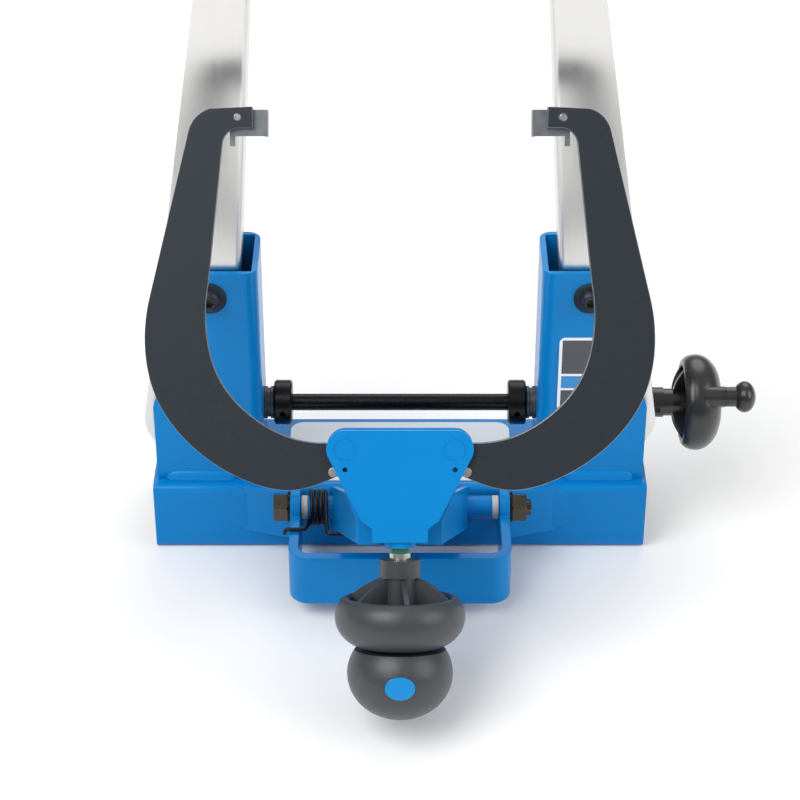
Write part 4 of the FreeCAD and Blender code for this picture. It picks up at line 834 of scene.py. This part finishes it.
class FrontKnobPieces(Operator):
    """Saucer knob with its brass insert, ball knob with its blue inlay"""
    bl_idname = "stand.front_knobs"
    bl_label = "Front knobs"

    def execute(self, context):
        rounded_copy("saucer_knob", sizes().moulded_round, "nylon")
        coat_node("knob_insert", "brass")
        rounded_copy("ball_knob", sizes().moulded_round, "nylon")
        rounded_copy("ball_cap", sizes().small_round, "inlay")
        return {"FINISHED"}


FLOOR_REACH = 6.0
LAMP_AIM = (0, 0, 0.15)
KEY_SPOT, KEY_SIZE = (-0.9, -0.9, 1.7), 1.6
FILL_SPOT, FILL_SIZE = (1.5, -0.6, 1.0), 1.4
REAR_SPOT, REAR_SIZE = (0.3, 1.4, 1.5), 1.6
SENSOR_WIDTH = 36
FARTHEST_VIEW = 50


class Studio(Operator):
    """Plain floor, soft lights and the camera"""
    bl_idname = "stand.studio"
    bl_label = "Studio"

    def execute(self, context):
        studio = context.scene.stand_studio
        floor_mesh = bpy.data.meshes.new("floor")
        corners = [(x * FLOOR_REACH, y * FLOOR_REACH, 0) for x, y in ((-1, -1), (1, -1), (1, 1), (-1, 1))]
        floor_mesh.from_pydata(corners, [], [(0, 1, 2, 3)])
        floor = bpy.data.objects.new("floor", floor_mesh)
        context.scene.collection.objects.link(floor)
        paper = new_finish("studio_paper", Roughness=0.9, Base_Color=studio.ground)[0]
        floor_mesh.materials.append(paper)
        lamps = (("key", KEY_SPOT, KEY_SIZE, studio.key_power), ("fill", FILL_SPOT, FILL_SIZE, studio.fill_power),
                 ("rear", REAR_SPOT, REAR_SIZE, studio.rear_power))
        for name, spot, size, power in lamps:
            data = bpy.data.lights.new(name, "AREA")
            data.shape = "DISK"
            data.size = size
            data.energy = power
            lamp = bpy.data.objects.new(name, data)
            lamp.location = spot
            lamp.rotation_euler = (Vector(LAMP_AIM) - Vector(spot)).to_track_quat("-Z", "Y").to_euler()
            context.scene.collection.objects.link(lamp)
        world = bpy.data.worlds.new("studio_air")
        world.use_nodes = True
        tree = world.node_tree
        soft = tree.nodes["Background"]
        soft.inputs["Strength"].default_value = studio.world_level
        place = node(tree, "ShaderNodeTexCoord")
        parts = node(tree, "ShaderNodeSeparateXYZ", links={"Vector": place.outputs["Generated"]})
        rise = node(tree, "ShaderNodeValToRGB", links={"Fac": parts.outputs["Z"]})
        rise.color_ramp.elements[0].color = linear("#a6a8aa")
        rise.color_ramp.elements[1].color = linear("#ffffff")
        tree.links.new(rise.outputs["Color"], soft.inputs["Color"])
        plain = node(tree, "ShaderNodeBackground", {"Color": (1, 1, 1, 1), "Strength": 1.0})
        path = node(tree, "ShaderNodeLightPath")
        seen = node(tree, "ShaderNodeMixShader", links={0: path.outputs["Is Camera Ray"], 1: soft.outputs[0],
                                                        2: plain.outputs[0]})
        tree.links.new(seen.outputs[0], tree.nodes["World Output"].inputs["Surface"])
        context.scene.world = world
        lens = bpy.data.cameras.new("camera")
        lens.lens = studio.camera_lens
        lens.sensor_width = SENSOR_WIDTH
        lens.clip_end = FARTHEST_VIEW
        camera = bpy.data.objects.new("camera", lens)
        camera.location = (0, -studio.camera_back, studio.camera_up)
        camera.rotation_euler = (math.pi / 2 - studio.camera_tilt, 0, 0)
        context.scene.collection.objects.link(camera)
        context.scene.camera = camera
        context.scene.view_settings.view_transform = "Standard"
        return {"FINISHED"}


OPERATORS = (BasePieces, BracketPieces, UprightPieces, ScrewPieces, SideKnobPieces, StrapPieces, ArmPieces,
             HeadPieces, CaliperPieces, FrontKnobPieces, Studio)


class StandPanel(Panel):
    """Lists the stand's steps and settings in the sidebar"""
    bl_idname = "VIEW3D_PT_truing_stand"
    bl_label = "Truing stand"
    bl_space_type = "VIEW_3D"
    bl_region_type = "UI"
    bl_category = "Truing stand"

    def draw(self, context):
        for operator in OPERATORS:
            self.layout.operator(operator.bl_idname)
        for name, group in SETTINGS:
            box = self.layout.box()
            for key in group.__annotations__:
                box.prop(getattr(context.scene, name), key)


def register():
    for name, group in SETTINGS:
        bpy.utils.register_class(group)
        setattr(bpy.types.Scene, name, PointerProperty(type=group))
    for operator in OPERATORS:
        bpy.utils.register_class(operator)
    bpy.utils.register_class(StandPanel)


def unregister():
    bpy.utils.unregister_class(StandPanel)
    for operator in reversed(OPERATORS):
        bpy.utils.unregister_class(operator)
    for name, group in reversed(SETTINGS):
        delattr(bpy.types.Scene, name)
        bpy.utils.unregister_class(group)


def main():
    register()
    for operator in OPERATORS:
        family, step = operator.bl_idname.split(".")
        getattr(getattr(bpy.ops, family), step)()
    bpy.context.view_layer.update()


if __name__ == "__main__":
    main()
